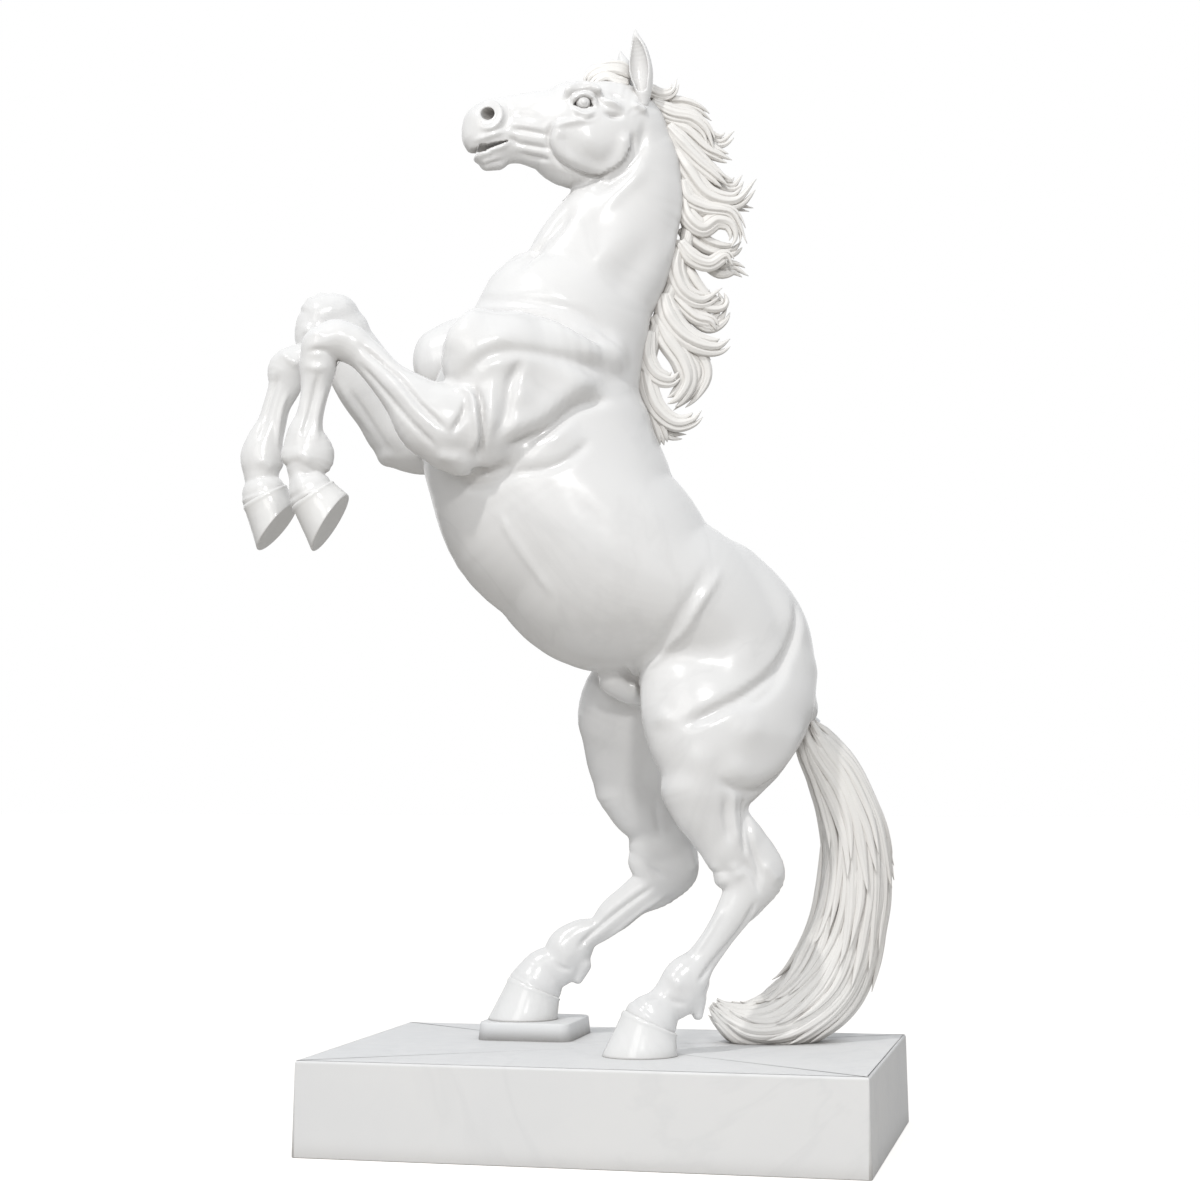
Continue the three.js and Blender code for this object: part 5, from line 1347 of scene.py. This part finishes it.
def sawn_tail(name, node, keep):
    """The part of the tail above or below its joint, with every cut lock closed."""
    centre, normal, _ = seam_at(TAIL, TAIL_JOINT)
    piece = bundle(name, tail_skins)
    grid = bmesh.new()
    grid.from_mesh(piece.data)
    edges = slice_through(grid, [*grid.verts, *grid.edges, *grid.faces], on_plinth(centre) * MM,
                          normal @ TURN * keep, dist=1e-6, clear_outer=True)
    bmesh.ops.split(grid, geom=bmesh.ops.holes_fill(grid, edges=edges)["faces"])
    for vert in grid.verts:
        vert.co.z = max(vert.co.z, PLINTH_HEIGHT * MM + TAIL_REST)
    grid.to_mesh(piece.data)
    grid.free()
    fit(piece, node)


sawn_tail("tail_upper_block", "tail_upper", 1)
sawn_tail("tail_lower_block", "tail_lower", -1)

# Dowels, rods and pins: plain drawn steel bar, set in bores in the blocks across their seams.
# Their CAD solids stay as they are and get the finish of the steel.
steel_bar, tree, shader = new_material("drawn steel bar")
fill(tree, shader, {"Base Color": (0.55, 0.56, 0.58, 1), "Metallic": 1, "Roughness": 0.35})
for node_name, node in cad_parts.items():
    if node_name.endswith(("_dowel", "_rod", "_pin")):
        node.data.materials.clear()
        node.data.materials.append(steel_bar)

# Floor, light and camera: a plain pale floor under soft studio light, seen from the photograph's angle.
# Floor and world look white to the camera, and the lamps light the statue at a plain level.
FLOOR_HALF = 60
FLOOR_GLOW = 0.7
floor_mesh = bpy.data.meshes.new("studio_floor")
floor_corners = [(x * FLOOR_HALF, y * FLOOR_HALF, 0) for x, y in ((-1, -1), (1, -1), (1, 1), (-1, 1))]
floor_mesh.from_pydata(floor_corners, [], [(0, 1, 2, 3)])
floor_paint, tree, shader = new_material("studio floor")
seen = new_node(tree, "ShaderNodeLightPath", {}).outputs["Is Camera Ray"]
glow = new_node(tree, "ShaderNodeMath", {0: seen, 1: FLOOR_GLOW}, operation="MULTIPLY")
fill(tree, shader, {"Base Color": (0.5, 0.475, 0.44, 1), "Roughness": 0.9, "Emission Color": (1, 1, 1, 1),
                    "Emission Strength": glow.outputs[0]})
placed("studio_floor", floor_mesh, floor_paint)

world = bpy.data.worlds.new("soft studio")
bpy.context.scene.world = world
world.use_nodes = True
tree = world.node_tree
air = fill(tree, tree.nodes["Background"], {"Color": (0.93, 0.96, 1.0, 1), "Strength": 0.54})
white = new_node(tree, "ShaderNodeBackground", {"Color": (1, 1, 1, 1), "Strength": 1})
rays = new_node(tree, "ShaderNodeLightPath", {}).outputs
mirrored = new_node(tree, "ShaderNodeMath", {0: rays["Is Glossy Ray"], 1: rays["Is Transmission Ray"]},
                    operation="MAXIMUM")
shown = new_node(tree, "ShaderNodeMath", {0: rays["Is Camera Ray"], 1: mirrored.outputs[0]},
                 operation="MAXIMUM")
sky = new_node(tree, "ShaderNodeMixShader", {0: shown.outputs[0], 1: air.outputs[0], 2: white.outputs[0]})
fill(tree, tree.nodes["World Output"], {"Surface": sky.outputs[0]})

STATUE_MIDDLE = Vector((0, 0, 1.5))
LAMP_DISTANCE = 10
SUNNY = (1.0, 0.99, 0.975)


def lamp(name, turn, rise, size, power, colour):
    """A round lamp that looks at the statue; its turn from straight in front and its rise are in degrees."""
    turn, rise = math.radians(turn), math.radians(rise)
    way = Vector((math.sin(turn) * math.cos(rise), -math.cos(turn) * math.cos(rise), math.sin(rise)))
    light = bpy.data.lights.new(name, "AREA")
    light.shape = "DISK"
    light.size = size
    light.energy = power
    light.color = colour
    made = bpy.data.objects.new(name, light)
    made.location = STATUE_MIDDLE + way * LAMP_DISTANCE
    made.rotation_euler = way.to_track_quat("Z", "Y").to_euler()
    bpy.context.scene.collection.objects.link(made)


lamp("key", turn=-18, rise=50, size=0.5, power=360, colour=SUNNY)
lamp("side", turn=20, rise=28, size=1.2, power=250, colour=SUNNY)
lamp("fill", turn=-5, rise=20, size=4.0, power=90, colour=(1.0, 0.98, 0.96))

CAMERA_PLACE, CAMERA_AIM = Vector((1.360, -6.078, 0.971)), Vector((-0.0436, 0, 1.483))
camera_data = bpy.data.cameras.new("camera")
camera_data.lens = 67.08
camera_data.sensor_width = 36
camera = bpy.data.objects.new("camera", camera_data)
camera.location = CAMERA_PLACE
camera.rotation_euler = (CAMERA_AIM - CAMERA_PLACE).to_track_quat("-Z", "Y").to_euler()
bpy.context.scene.collection.objects.link(camera)
bpy.context.scene.camera = camera
bpy.context.scene.view_settings.view_transform = "Standard"
